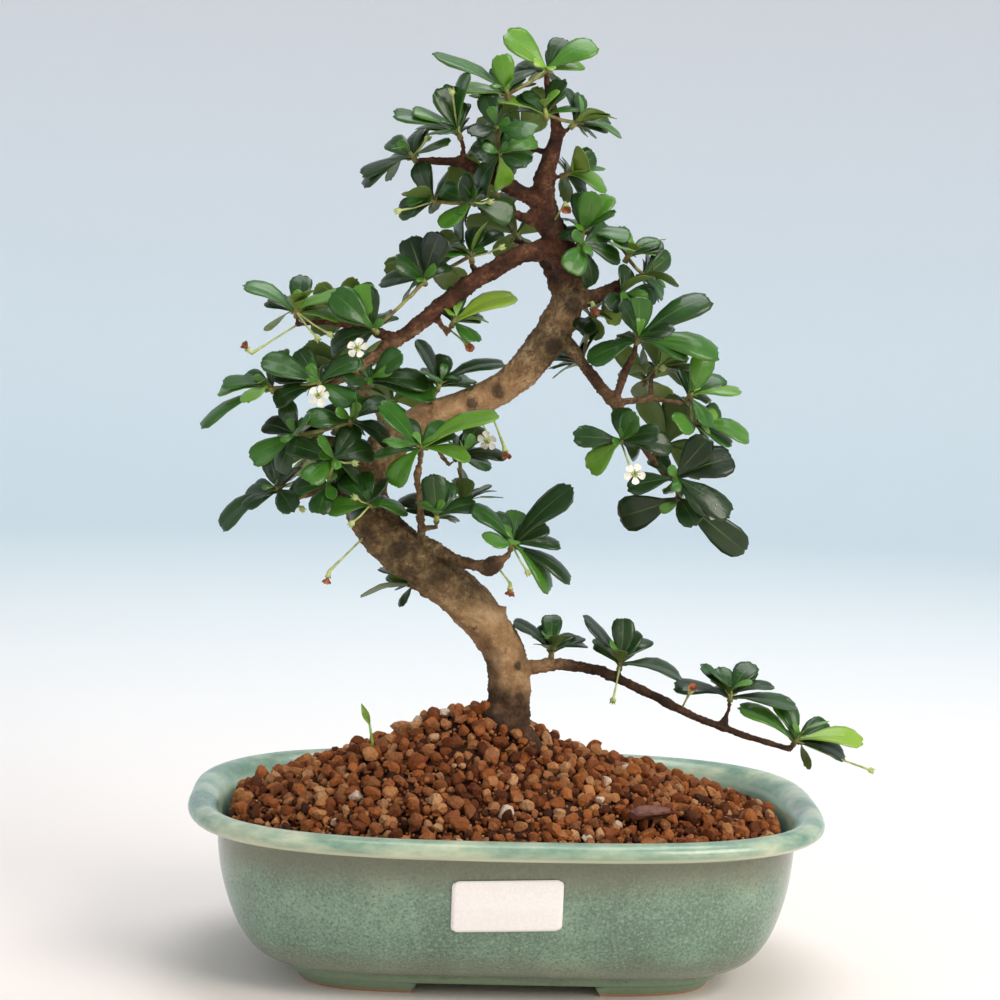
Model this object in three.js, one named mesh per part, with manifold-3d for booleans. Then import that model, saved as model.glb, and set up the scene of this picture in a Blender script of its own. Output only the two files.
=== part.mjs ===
// A fukien tea bonsai in a glazed oval pot: pot, drainage meshes, soil, one grown trunk with its limbs,
// leafy shoots, flowers and withered flowers. Millimetres, +Z up, +X to the right, front towards -Y.
// The origin is on the surface that the pot stands on, under the middle of the whole part.
// Until the very end, places are measured from the middle of the pot, with the floor at FOOT_BOTTOM.
import * as THREE from "three";
import { mergeVertices } from "three/addons/utils/BufferGeometryUtils.js";
import Module from "manifold-3d";

const wasm = await Module();
wasm.setup();

// Driving dimensions
const POT_LENGTH = 250;
const POT_INSET = 31.5; // the pot is this much narrower than long, to each side, at every height
const POT_TOP = 72.8;
const POT_SIDES = 32;
const FOOT_BOTTOM = 4.5;
const FOOT_TOP = 9.3;
const FLOOR_TOP = 17;
const DRAIN_RADIUS = 7;
const DRAIN_OFFSET = 52;
const SLIVER = 0.25; // faces that stand out less than this are simplified away
const ROUNDING = 0.001; // every point lies on this grid
const GAP = 0.3; // between pieces that rest on each other
const SOIL_PEAK_X = -16;
const SOIL_HALF_DEPTH = 79;
const BLADE_THICKNESS = 0.7;
const LEAF_WIDTH = 0.47; // share of a leaf's length
const LEAF_WIDEST = 10.8;
const SHORTEST_LEAF = 16;
const SHOOT_HEIGHT = 4;
const SHOOT_RADIUS = 1.25;
const STALK_RADIUS = 0.45;
const FLOWER_RADIUS = 4.4;
const WITHERED_RADIUS = 5.2;
const PETAL_THICKNESS = 0.7;

const UP = new THREE.Vector3(0, 0, 1);
const vec = (p) => new THREE.Vector3(p[0], p[1], p[2]);

// A small seeded random source, so that every run grows the same tree.
function seeded(seed) {
  let state = seed >>> 0;
  return () => {
    state = (state + 0x6d2b79f5) >>> 0;
    let t = Math.imul(state ^ (state >>> 15), 1 | state);
    t = (t + Math.imul(t ^ (t >>> 7), 61 | t)) ^ t;
    return ((t ^ (t >>> 14)) >>> 0) / 4294967296;
  };
}

// Joins rings of points into one closed surface. A ring of one point is a pole; open ends get a flat cap.
function loft(rings) {
  const points = rings.flat();
  const starts = [];
  rings.reduce((sum, ring) => (starts.push(sum), sum + ring.length), 0);
  const faces = [];
  const cap = (start, count, back) => {
    for (let i = 1; i < count - 1; i++)
      faces.push(...(back ? [start, start + i + 1, start + i] : [start, start + i, start + i + 1]));
  };
  for (let r = 0; r + 1 < rings.length; r++) {
    const [a, b] = [starts[r], starts[r + 1]];
    const [m, n] = [rings[r].length, rings[r + 1].length];
    for (let i = 0; i < Math.max(m, n); i++) {
      const j = (i + 1) % Math.max(m, n);
      if (m > 1) faces.push(a + i, a + j, b + (n > 1 ? i : 0));
      if (n > 1) faces.push(b + i, m > 1 ? a + j : a, b + j);
    }
  }
  cap(0, rings[0].length, true);
  cap(starts.at(-1), rings.at(-1).length, false);
  return new THREE.BufferGeometry()
    .setAttribute("position", new THREE.Float32BufferAttribute(points.flatMap((p) => [p.x, p.y, p.z]), 3))
    .setIndex(faces);
}

function solidOf(geometry) {
  const bare = geometry.clone();
  bare.deleteAttribute("normal");
  bare.deleteAttribute("uv");
  const merged = mergeVertices(bare, 1e-4);
  const triVerts = new Uint32Array(merged.index.array);
  const vertProperties = merged.attributes.position.array;
  const make = () => new wasm.Manifold(new wasm.Mesh({ numProp: 3, vertProperties, triVerts }));
  const solid = make();
  if (solid.volume() >= 0) return solid;
  for (let i = 0; i < triVerts.length; i += 3) {
    [triVerts[i + 1], triVerts[i + 2]] = [triVerts[i + 2], triVerts[i + 1]];
  }
  return make();
}

const joined = (solids) => solids.reduce((all, one) => all.add(one));

// Whether a surface stays closed when its points are rounded, as they are in a file.
function closedWhenRounded(solid) {
  const { vertProperties, triVerts } = solid.getMesh();
  const names = [];
  for (let i = 0; i < vertProperties.length; i += 3)
    names.push([0, 1, 2].map((k) => (vertProperties[i + k] / ROUNDING).toFixed(0)).join());
  const edges = new Map();
  for (let i = 0; i < triVerts.length; i += 3) {
    const corners = [0, 1, 2].map((k) => names[triVerts[i + k]]);
    if (new Set(corners).size < 3) continue;
    corners.forEach((corner, k) => {
      const next = corners[(k + 1) % 3];
      const key = corner < next ? `${corner}|${next}` : `${next}|${corner}`;
      edges.set(key, (edges.get(key) ?? 0) + 1);
    });
  }
  return [...edges.values()].every((count) => count === 2);
}

// One body: slivers are smoothed away, and loose scraps and sealed hollows are dropped.
function oneBody(solid) {
  const plain = solid.asOriginal();
  const tries = [1, 1.2, 0.8, 1.4, 0.6, 1.7, 0.4].map((share) => {
    const bodies = plain.simplify(SLIVER * share).decompose();
    return bodies.reduce((best, body) => (body.volume() > best.volume() ? body : best));
  });
  return tries.find(closedWhenRounded) ?? tries[0];
}
const overlaps = (a, b) => a.intersect(b).volume() > 0.001;
const boxAt = (width, depth, height, x, y, z) =>
  solidOf(new THREE.BoxGeometry(width, depth, height).translate(x, y, z));

// The pot's plan, for the ring that reaches `reach` along X. It is rounder at the lip than at the foot:
// as the exponent of an oval, 2 is an ellipse and 5 is nearly a rectangle.
const squareness = (reach) => THREE.MathUtils.clamp(3 + (1.6 * (112 - reach)) / 22, 3, 4.6);
function ovalPoint(reach, angle, z) {
  const [c, s] = [Math.cos(angle), Math.sin(angle)];
  const bend = (v) => Math.sign(v) * Math.abs(v) ** (2 / squareness(reach));
  return new THREE.Vector3(reach * bend(c), (reach - POT_INSET) * bend(s), z);
}
const ovalRing = (reach, z, sides = POT_SIDES) =>
  Array.from({ length: sides }, (_, i) => ovalPoint(reach, (2 * Math.PI * i) / sides, z));

// Half the wall's length at a height, outside, from the foot to the neck under the lip.
const OUTER_WALL = [
  [84, FOOT_TOP], [86, 12.2], [89, 13.6], [95, 16.3], [100, 20], [105, 26.8], [109, 36], [111.7, 46],
  [113.5, 63],
];
function outerReach(z) {
  const i = Math.max(1, OUTER_WALL.findIndex(([, top]) => top >= z));
  const [[r0, z0], [r1, z1]] = [OUTER_WALL[i - 1], OUTER_WALL[i]];
  return r0 + ((r1 - r0) * (z - z0)) / (z1 - z0);
}

// The pot is one glazed stoneware shell with a rolled lip, four corner feet and two drain holes.
function pot() {
  const lip = [
    [117, 65.2], [121.5, 65.6], [124, 67.8], [124, 69.8], [122, 71.9], [119, POT_TOP],
    [114.6, 71.4],
  ];
  const inner = [[110.5, 64], [108.5, 50], [105, 38], [100, 28.5], [94, 22.5], [85, FLOOR_TOP]];
  const profile = [...OUTER_WALL, ...lip, ...inner];
  const bottom = [new THREE.Vector3(0, 0, FOOT_TOP)];
  const floor = [new THREE.Vector3(0, 0, FLOOR_TOP)];
  let body = solidOf(loft([bottom, ...profile.map(([reach, z]) => ovalRing(reach, z)), floor]));
  const feet = solidOf(loft([ovalRing(80.5, FOOT_BOTTOM), ovalRing(83.4, FOOT_TOP + 1)]))
    .subtract(solidOf(loft([ovalRing(71, FOOT_BOTTOM - 1), ovalRing(73, FOOT_TOP + 2)])))
    .subtract(boxAt(72, POT_LENGTH, 20, 0, 0, FOOT_BOTTOM))
    .subtract(boxAt(POT_LENGTH, 36, 20, 0, 0, FOOT_BOTTOM));
  body = body.add(feet);
  for (const side of [-1, 1]) {
    const hole = new THREE.CylinderGeometry(DRAIN_RADIUS, DRAIN_RADIUS, 30, 16).rotateX(Math.PI / 2);
    body = body.subtract(solidOf(hole.translate(side * DRAIN_OFFSET, 0, FLOOR_TOP)));
  }
  return body;
}

// A square of plastic mesh covers each drain hole from inside.
const MESH_SIDE = 26;
const MESH_THICKNESS = 1;
function drainageMesh(x) {
  let mesh = boxAt(MESH_SIDE, MESH_SIDE, MESH_THICKNESS, x, 0, FLOOR_TOP + GAP + MESH_THICKNESS / 2);
  for (const i of [-1, 1])
    for (const j of [-1, 1]) mesh = mesh.subtract(boxAt(8, 8, 4, x + 6 * i, 6 * j, FLOOR_TOP + 1));
  return mesh;
}

// The soil is a mound of baked clay granules. Its height on each side of its peak, by share of the way
// to the edge.
const SOIL_LEFT = [[0, 105], [0.17, 99], [0.31, 91], [0.49, 84], [0.66, 77], [0.81, 72], [0.94, 66], [1, 62]];
const SOIL_RIGHT = [
  [0, 105], [0.13, 101.5], [0.28, 92], [0.42, 85.5], [0.64, 77.5], [0.86, 67.5],
  [0.95, 65], [1, 62],
];
function soilHeight(x, y) {
  const left = x < SOIL_PEAK_X;
  const away = Math.min(1, Math.hypot((x - SOIL_PEAK_X) / (left ? 100 : 128), y / SOIL_HALF_DEPTH));
  const slope = left ? SOIL_LEFT : SOIL_RIGHT;
  const i = Math.max(1, slope.findIndex(([share]) => share >= away));
  const [[s0, z0], [s1, z1]] = [slope[i - 1], slope[i]];
  return z0 + ((z1 - z0) * (away - s0)) / (s1 - s0);
}
function soil() {
  const random = seeded(11);
  const rings = [];
  for (const [reach, z] of [[84, FLOOR_TOP + GAP], [98.5, 28.5], [107.2, 50]]) rings.push(ovalRing(reach, z));
  const steps = 12;
  for (let k = 0; k < steps; k++) {
    const ring = ovalRing(108.6, 0).map((p) => {
      p.multiplyScalar(1 - k / steps);
      const loose = k ? 1 : 0;
      p.x += loose * 1.6 * (random() - 0.5);
      p.y += loose * 1.6 * (random() - 0.5);
      p.z = soilHeight(p.x, p.y) + loose * 4.6 * (random() - 0.5);
      return p;
    });
    rings.push(ring);
  }
  rings.push([new THREE.Vector3(0, 0, soilHeight(0, 0))]);
  const bottom = [new THREE.Vector3(0, 0, FLOOR_TOP + GAP)];
  let mound = solidOf(loft([bottom, ...rings]));
  for (const side of [-1, 1])
    mound = mound.subtract(boxAt(MESH_SIDE + 1, MESH_SIDE + 1, 4, side * DRAIN_OFFSET, 0, FLOOR_TOP));
  return mound;
}

// The wood: a trunk in a flat S and the limbs that grow from it, as points [x, y, z, radius] of their
// middle lines.
const LIMBS = {
  trunk: [
    [0, 0, 84, 11], [-1, 0, 97, 10], [0, 0, 111, 8.5], [-1, -1, 125, 8.1], [-9, -3, 139, 8.5],
    [-20, -5, 151, 9.1],
    [-37, -6, 164, 9.5], [-53, -6, 177, 9.3], [-59, -4, 192, 8.5], [-52, -1, 208, 7.3], [-34, 2, 221, 6.3],
    [-15, 3, 228, 6.3], [0, 3, 238, 6.9], [12, 2, 254, 7.3], [19, 1, 272, 6.3], [16, 0, 287, 5.7],
    [8, 0, 301, 5.5],
    [7, 0, 315, 4.1], [12, 1, 332, 2.8], [9, 2, 344, 1.9], [7, 2, 353.5, 1.4],
  ],
  low_branch: [
    [2, 0, 122, 3.2], [20, -3, 125, 2.6], [36, -4, 123, 2.4], [54, -5, 115, 2], [73, -6, 106, 1.8],
    [93, -6, 99, 1.6],
    [111, -6, 94, 1.4],
  ],
  upper_branch: [
    [14, 0, 289, 4.8], [-2, -3, 285, 4.1], [-17, -5, 276, 3.7], [-30, -7, 266, 3.5], [-41, -9, 256, 3.2],
    [-53, -11, 247, 2.6], [-66, -13, 237, 2], [-75, -14, 232, 1.6],
  ],
  high_left_branch: [[-48, -10, 251, 2.4], [-62, -12, 256, 2], [-75, -11, 257, 1.6], [-84, -10, 256, 1.3]],
  crown_branch: [
    [8, 0, 304, 3.7], [-4, -3, 310, 3.2], [-14, -4, 315, 2.8], [-25, -5, 320, 2.4], [-35, -6, 320, 1.8],
    [-42, -6, 320, 1.4],
  ],
  crown_lower: [[8, 0, 298, 2.8], [-6, -4, 301, 2.2], [-17, -7, 303, 1.6]],
  right_stub: [[17, 0, 268, 3.2], [26, -2, 269, 3.5], [35, -3, 273, 2.6], [42, -2, 277, 1.8]],
  right_branch: [
    [15, 0, 255, 3.7], [25, -3, 243, 2.8], [34, -6, 232, 2.6], [42, -10, 222, 2], [50, -13, 210, 1.6],
    [58, -13, 201, 1.3],
  ],
  right_riser: [[37, -7, 230, 2], [41, -9, 242, 1.8], [44, -13, 249, 1.3]],
  right_spur: [[38, -7, 229, 1.8], [51, -7, 231, 1.4], [62, -8, 230, 1.2]],
  small_branch: [
    [-48, -6, 176, 3.2], [-33, -13, 172, 2.8], [-21, -16, 166, 2.4], [-11, -17, 164, 2.4], [-3, -17, 169, 1.5],
  ],
  twig_riser: [[-36, -12, 173, 1.8], [-38, -22, 191, 1.6], [-39, -29, 200, 1.6], [-38, -33, 206, 1.2]],
  left_low: [[-58, -6, 187, 5.3], [-67, -10, 193, 3.7], [-77, -13, 192, 2.6], [-87, -14, 189, 1.6]],
  left_mid: [[-57, -6, 201, 4.5], [-65, -14, 210, 3.2], [-76, -18, 212, 2.2], [-82, -20, 211, 1.3]],
  back_stub: [[-31, -5, 158, 2.4], [-33, 6, 150, 1.8], [-36, 10, 150, 1.3]],
  back_branch: [[-50, 0, 210, 3], [-54, 14, 222, 2.2], [-64, 22, 232, 1.6]],
  back_upper: [[14, 0, 272, 3], [10, 12, 282, 2.2], [0, 20, 290, 1.5]],
};
const ROOTS = [
  [[-4, 0, 98, 5], [-11, -3, 99, 4], [-19, -6, 93, 2.6]],
  [[3, -3, 98, 5], [8, -9, 97, 3.6], [14, -15, 90, 2.4]],
  [[3, 3, 99, 5], [10, 9, 96, 3.6], [16, 15, 89, 2.4]],
  [[-3, 3, 99, 5], [-8, 11, 96, 3.4], [-12, 18, 89, 2.2]],
];

// A tapered limb with slightly uneven bark rings, closed at both ends.
function limb(points, sides, stepsPerPoint, extra = 0, seed = 1) {
  const curve = new THREE.CatmullRomCurve3(points.map(vec), false, "centripetal");
  const count = (points.length - 1) * stepsPerPoint;
  const frames = curve.computeFrenetFrames(count, false);
  const random = seeded(seed);
  const rings = [];
  for (let i = 0; i <= count; i++) {
    const at = curve.getPoint(i / count);
    const place = (i / count) * (points.length - 1);
    const low = Math.min(points.length - 2, Math.floor(place));
    const radius = THREE.MathUtils.lerp(points[low][3], points[low + 1][3], place - low) + extra;
    const tangent = curve.getTangent(i / count);
    const normal = frames.normals[i].clone();
    normal.addScaledVector(tangent, -normal.dot(tangent)).normalize();
    const side = tangent.clone().cross(normal);
    const uneven = extra ? 0 : 0.09;
    rings.push(Array.from({ length: sides }, (_, k) => {
      const angle = (2 * Math.PI * k) / sides;
      const reach = radius * (1 + uneven * (2 * random() - 1));
      const across = at.clone().addScaledVector(normal, reach * Math.cos(angle));
      return across.addScaledVector(side, reach * Math.sin(angle));
    }));
  }
  return solidOf(loft(rings));
}

// Leafy shoots: name, foot [x, y, z], direction that the shoot looks, its leaves' reach as seen from
// the front
// [across, up], and how many more leaves stand round it.
const SHOOTS = [
  ["crown_tip", [7, 1, 355], [0, -1, 0.6], [[-17, 15], [18, 12]], 2],
  ["crown_left_top", [-8, -6, 345], [-0.3, -0.6, 1], [[-21, 10], [-30, 13], [-3, 15], [7, 11]], 1],
  ["crown_arch", [7, -4, 338], [-0.2, -0.5, 1], [[-26, 18], [9, 5]], 1],
  ["crown_front", [-12, -12, 332], [-0.2, -1, 0.5], [[-10, -2], [-2, 10], [14, -1]], 2],
  ["crown_low_front", [-11, -15, 322], [0, -1, 0.3], [[-11, -1], [2, -10], [11, -4], [12, 6]], 1],
  ["crown_left", [-26, -8, 329], [-0.4, -0.4, 1], [[-26, 9], [-18, 9], [-8, 19], [12, 21], [-10, 1]], 1],
  ["crown_left_tip", [-43, -6, 320], [-0.6, -0.5, 0.8], [[-21, -6], [-20, -11], [14, 5], [-6, -6]], 1],
  ["crown_left_under", [-34, -10, 304], [-0.7, -0.6, 0.3], [[-11, 3], [-4, 12], [4, 10], [8, -2]], 1],
  ["crown_low_left", [-20, -12, 304], [-0.5, -0.8, 0.2], [[-12, -10], [6, -5], [-6, 8]], 2],
  ["crown_right", [17, -1, 335], [0.7, -0.4, 0.6], [[12, 5], [18, -4], [15, 3]], 1],
  ["crown_right_mid", [14, -4, 316], [0.8, -0.6, 0.3], [[15, 3], [13, -3], [7, 8]], 1],
  ["shoulder_right", [22, -8, 293], [0.2, -0.8, 0.8], [[4, 17], [-8, 3], [19, -1], [10, 14], [12, 7]], 0],
  ["shoulder_front", [21, -14, 289], [0.3, -1, 0.2], [[9, -14], [14, -4], [-5, -10]], 1],
  ["upper_branch_top", [-20, -4, 282], [-0.2, -0.6, 1], [[-9, 5], [11, 9], [6, 14], [-10, -3], [-12, 2]], 0],
  ["upper_branch_mid", [-38, -12, 273], [-0.2, -1, 0.5], [[-11, 9], [-6, 16], [8, 19], [-15, -1]], 1],
  ["left_high_tip", [-87, -10, 259], [-0.1, -0.6, 1],
    [[-20, 12], [-8, -6], [3, 10], [21, 7], [20, -5], [10, 4]], 0],
  ["left_high_front", [-56, -16, 254], [-0.5, -1, 0.4], [[-7, 18], [-11, 3], [-3, 17], [-16, 14]], 1],
  ["upper_branch_right", [-27, -6, 257], [0.3, -0.5, 0.8], [[22, 17], [10, 1], [5, -14], [-5, 9]], 1],
  ["left_mid_front", [-77, -20, 233], [-0.2, -0.9, 0.6],
    [[-23, 9], [-16, 2], [-18, -7], [11, 6], [13, -7], [16, 10]], 0],
  ["left_mid_tip", [-95, -16, 230], [-0.5, -0.4, 0.8], [[-29, -13], [-18, 1], [-8, -4]], 1],
  ["left_mid_inner", [-58, -14, 234], [0.1, -0.9, 0.6], [[26, -5], [23, 0], [12, 12], [-9, -7], [-7, 4]], 0],
  ["left_mid_back", [-32, -6, 232], [0.3, -0.4, 0.8], [[-9, 19], [25, 10], [-7, -1]], 1],
  ["twig_top", [-38, -34, 209], [0, -0.6, 1],
    [[-17, 18], [29, 16], [-13, 3], [-17, -3], [-11, -14], [9, 10], [19, -3]], 0],
  ["left_low_front", [-65, -26, 219], [0, -0.9, 0.5], [[-16, 3], [15, -7], [-5, 9], [13, 8]], 1],
  ["left_low_mid", [-84, -22, 213], [-0.4, -0.9, 0.4],
    [[-19, -9], [-11, 3], [3, 7], [-7, -15], [15, -11]], 0],
  ["left_low_inner", [-71, -30, 205], [0, -1, 0.3], [[-9, -6], [6, -6], [-5, 8], [13, 3]], 1],
  ["left_low_tip", [-91, -14, 191], [-0.5, -0.7, 0.6], [[-14, -5], [-23, -15], [6, -6], [3, 6]], 0],
  ["left_low_under", [-73, -20, 194], [0, -0.9, 0.4], [[17, 2], [-11, -5], [-3, -9], [8, 8]], 0],
  ["bend_front", [-56, -26, 188], [-0.2, -1, 0.4], [[-18, -2], [-7, 4], [8, 7], [11, -2]], 0],
  ["bend_right", [-24, -4, 205], [0.5, -0.4, 0.6], [[12, -4], [6, 9], [17, 5]], 1],
  ["right_high_tip", [40, 0, 284], [0.4, -0.4, 1], [[14, 9], [13, 0], [-4, 7]], 1],
  ["right_stub_tip", [45, -2, 278], [1, -0.5, 0.3], [[13, -1], [3, -9]], 1],
  ["right_stub_front", [37, -9, 270], [0.6, -0.7, 0.4], [[12, 2], [7, -2], [-8, -7], [-4, -8]], 0],
  ["right_inner", [27, 6, 260], [0.2, 0.3, 0.5], [[-9, -3], [1, -6], [6, 9]], 1],
  ["right_top", [44, -16, 253], [0.1, -0.9, 0.6],
    [[0, 18], [27, 19], [-9, 14], [-19, -9], [12, 4], [20, -7], [33, -2], [3, -9]], 0],
  ["right_far_tip", [65, -8, 231], [0.6, -0.5, 0.8], [[7, 18], [20, 3], [7, -10], [12, 7]], 1],
  ["right_low_left", [39, -22, 215], [-0.1, -1, 0.2],
    [[-19, 1], [-10, -11], [4, 11], [20, -1], [13, 5], [4, -13]], 0],
  ["right_low_tip", [60, -18, 201], [0.1, -1, 0.2], [[-18, -4], [13, 16], [23, 9], [21, -16], [13, -15]], 0],
  ["right_low_under", [63, -10, 193], [0, -0.6, -0.2], [[-25, -10], [28, -21], [5, -8]], 0],
  ["right_low_far", [67, -8, 221], [0.6, -0.6, 0.4], [[16, -7], [22, -5], [-8, 1]], 1],
  ["right_mid_back", [53, 0, 241], [0.3, 0.5, 0.5], [[-12, -4], [14, -5]], 2],
  ["trunk_back_leaf", [26, 10, 242], [-0.5, 0.2, 0.6], [[-9, -2], [-6, 4]], 1],
  ["branch_base_shoot", [-31, -18, 182], [0, -0.8, 0.8], [[-2, 18], [14, 4], [-5, 6]], 1],
  ["small_branch_tip", [-2, -18, 172], [0.2, -0.6, 0.8],
    [[24, 24], [19, 2], [-18, 12], [2, 9], [17, -17], [25, -11], [-10, 3]], 0],
  ["small_branch_back", [-21, 2, 185], [0.3, 0.3, 0.9], [[0, 13], [15, 1], [-9, 4]], 1],
  ["trunk_back_shoot", [-38, 13, 152], [-0.7, 0.3, 0.5], [[-22, -4], [-13, 6], [-4, -5]], 0],
  ["low_branch_1", [16, -3, 128], [0.05, -0.3, 1], [[-15, 14], [0, 11], [-5, 5], [12, 1], [5, 10]], 0],
  ["low_branch_2", [43, -4, 124], [0.1, -0.4, 1], [[-16, 20], [1, 18], [-4, 9], [9, 7], [25, -3]], 0],
  ["low_branch_3", [87, -6, 113], [0, -0.4, 1],
    [[-8, 12], [8, 10], [-23, 3], [-13, 11], [27, -4], [17, 5]], 0],
  ["low_branch_tip", [113, -6, 96], [0.3, -0.5, 0.7],
    [[-22, 15], [-6, 16], [10, 11], [27, 1], [21, -4], [5, -9]], 0],
  ["back_crown", [-2, 14, 330], [0, 0.9, 0.7], [], 5],
  ["back_crown_low", [-10, 16, 308], [-0.4, 0.9, 0.3], [], 5],
  ["back_shoulder", [-2, 22, 292], [0.1, 0.9, 0.5], [], 5],
  ["back_upper", [-34, 8, 276], [-0.2, 0.9, 0.5], [], 5],
  ["back_left_high", [-70, 6, 258], [-0.3, 0.8, 0.7], [], 5],
  ["back_left", [-66, 23, 233], [-0.4, 0.8, 0.5], [], 5],
  ["back_left_mid", [-50, 24, 224], [0.4, 0.9, 0.5], [], 5],
  ["back_left_low", [-80, 8, 204], [-0.5, 0.8, 0.3], [], 5],
  ["back_right", [50, 12, 236], [0.3, 0.9, 0.4], [], 5],
  ["back_right_low", [58, 4, 212], [0.5, 0.8, 0.2], [], 5],
];

const WOOD_SIDES = { trunk: 10, low_branch: 7, upper_branch: 7, crown_branch: 6 };
const limbSolids = Object.entries(LIMBS).map(([name, points], i) =>
  limb(points, WOOD_SIDES[name] ?? 6, name === "trunk" ? 2 : 1, 0, 20 + i));

// The points of the wood's middle lines that are nearest to a place, one for each stretch, nearest first.
function nearOnLines(target, lines) {
  const found = [];
  for (const points of lines) {
    for (let i = 0; i + 1 < points.length; i++) {
      const [a, b] = [vec(points[i]), vec(points[i + 1])];
      const at = new THREE.Line3(a, b).closestPointToPoint(target, true, new THREE.Vector3());
      const along = at.distanceTo(a) / b.distanceTo(a);
      const radius = THREE.MathUtils.lerp(points[i][3], points[i + 1][3], along);
      found.push({ at, radius, gap: at.distanceTo(target) - radius });
    }
  }
  return found.sort((a, b) => a.gap - b.gap);
}

// Shoots that stand on one young twig: the second grows from the first one's foot.
const LINKS = [
  ["shoulder_right", "shoulder_front"], ["right_stub_tip", "right_high_tip"],
  ["right_far_tip", "right_low_far"],
  ["crown_low_front", "crown_front"], ["crown_right", "crown_arch"], ["right_low_tip", "right_low_under"],
  ["right_mid_back", "back_right"], ["crown_low_left", "crown_left_under"],
  ["left_low_under", "left_low_inner"],
  ["right_inner", "trunk_back_leaf"], ["left_mid_front", "left_mid_tip"], ["back_shoulder", "back_crown_low"],
  ["crown_tip", "crown_left_top"], ["upper_branch_top", "back_upper"], ["right_top", "right_stub_front"],
  ["left_low_mid", "left_low_front"], ["bend_right", "small_branch_back"],
  ["left_high_tip", "back_left_high"],
  ["left_high_front", "upper_branch_mid"], ["left_low_tip", "back_left_low"],
];

// A thin stem through a few points, square to its last stretch at the end.
function stem(points, radii, sides) {
  const rings = points.map((p, i) => {
    const from = points[Math.max(0, i - 1)];
    const to = points[Math.min(points.length - 1, i + 1)];
    const along = (i === points.length - 1 ? p.clone().sub(points[i - 1]) : to.clone().sub(from)).normalize();
    const turn = new THREE.Quaternion().setFromUnitVectors(UP, along);
    return Array.from({ length: sides }, (_, k) => {
      const angle = (2 * Math.PI * k) / sides;
      const out = new THREE.Vector3(radii[i] * Math.cos(angle), radii[i] * Math.sin(angle), 0);
      return out.applyQuaternion(turn).add(p);
    });
  });
  return solidOf(loft(rings));
}

// Each shoot stands on a twig of the wood, which ends GAP below the shoot's foot.
function twigLine(foot, axis) {
  const end = foot.clone().addScaledVector(axis, -GAP);
  const bend = foot.clone().addScaledVector(axis, -4);
  const [{ at }] = nearOnLines(bend, Object.values(LIMBS));
  const reach = at.distanceTo(bend);
  const thick = Math.min(2.2, SHOOT_RADIUS + reach * 0.03);
  const rows = [[bend, reach > 0.6 ? SHOOT_RADIUS + 0.1 : thick], [end, SHOOT_RADIUS]];
  if (reach > 0.6) rows.unshift([at, thick]);
  return rows.map(([p, radius]) => [...p.toArray(), radius]);
}
const lineStem = (line, sides) => stem(line.map(vec), line.map((p) => p[3]), sides);

function linkBetween(first, second) {
  const start = first.foot.clone().addScaledVector(first.axis, 2.6);
  const end = second.foot.clone().addScaledVector(second.axis, 1.6);
  return stem([start, end], [0.8, 0.8], 4);
}

// A leaf is wedge-shaped at its foot and widest near its end, which is cut into teeth round a notch.
const LEAF_OUTLINE = [[0, 0], [0.66, -0.5], [0.96, -0.24], [0.9, 0], [1, 0.2], [0.7, 0.5]];
const LEAF_FACES = [[0, 5, 1], [1, 5, 3], [1, 3, 2], [5, 4, 3]];
const leafArch = (t) => 0.07 * Math.sin(Math.PI * Math.min(1, t * 0.9));
function leaf(foot, along, facing, length, width) {
  const side = along.clone().cross(facing).normalize();
  const up = side.clone().cross(along).normalize();
  const place = ([t, w], lift) => foot.clone().addScaledVector(along, t * length)
    .addScaledVector(side, w * width)
    .addScaledVector(up, length * (leafArch(t) + (Math.abs(w) > 0.3 ? 0.03 : 0)) + lift);
  const under = LEAF_OUTLINE.map((p) => place(p, 0));
  const over = LEAF_OUTLINE.map((p) => place(p, BLADE_THICKNESS));
  const n = LEAF_OUTLINE.length;
  const faces = [];
  for (const [a, b, c] of LEAF_FACES) faces.push(a, c, b, n + a, n + b, n + c);
  for (let i = 0; i < n; i++) {
    const j = (i + 1) % n;
    faces.push(i, n + i, n + j, i, n + j, j);
  }
  const corners = [...under, ...over].flatMap((p) => [p.x, p.y, p.z]);
  return solidOf(new THREE.BufferGeometry()
    .setAttribute("position", new THREE.Float32BufferAttribute(corners, 3))
    .setIndex(faces));
}

// The leaves of one shoot before any is bent clear: foot, direction, the way its face looks, and length.
function leavesOf(index) {
  const [, foot, axis, seen, more] = SHOOTS[index];
  const random = seeded(1000 + index);
  const look = vec(axis).normalize();
  const leaves = seen.map(([across, up], k) => {
    const flat = Math.hypot(across, up);
    const length = Math.max(flat, SHORTEST_LEAF + 3 * random());
    const depth = Math.sqrt(Math.max(0, length ** 2 - flat ** 2)) * (k % 2 ? 0.6 : -1);
    return new THREE.Vector3(across, depth, up).normalize().multiplyScalar(length);
  });
  const across = Math.abs(look.z) < 0.9 ? look.clone().cross(UP).normalize() : new THREE.Vector3(1, 0, 0);
  for (let k = 0; k < more; k++) {
    const turn = 2.4 * k + 2 * random();
    const out = across.clone().applyAxisAngle(look, turn);
    out.addScaledVector(look, 0.35 + 0.5 * random()).normalize();
    const length = 16 + 7 * random();
    if (seen.length) out.y = Math.abs(out.y) * 0.9 + 0.15;
    leaves.push(out.normalize().multiplyScalar(length));
  }
  return leaves.map((reach, k) => {
    const length = reach.length();
    const node = vec(foot).addScaledVector(look, 0.7 + (2.8 * ((k * 3) % leaves.length)) / leaves.length);
    const along = reach.clone().normalize();
    const facing = look.clone().addScaledVector(UP, 0.35);
    facing.addScaledVector(along, -look.dot(along) - 0.35 * along.z);
    if (facing.length() < 0.2) facing.set(0, -1, 0.4).addScaledVector(along, -(-along.y + 0.4 * along.z));
    const width = Math.min(LEAF_WIDEST, LEAF_WIDTH * length) * (0.88 + 0.24 * random());
    return { foot: node.addScaledVector(along, 0.3), along, facing: facing.normalize(), length, width };
  });
}

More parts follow.
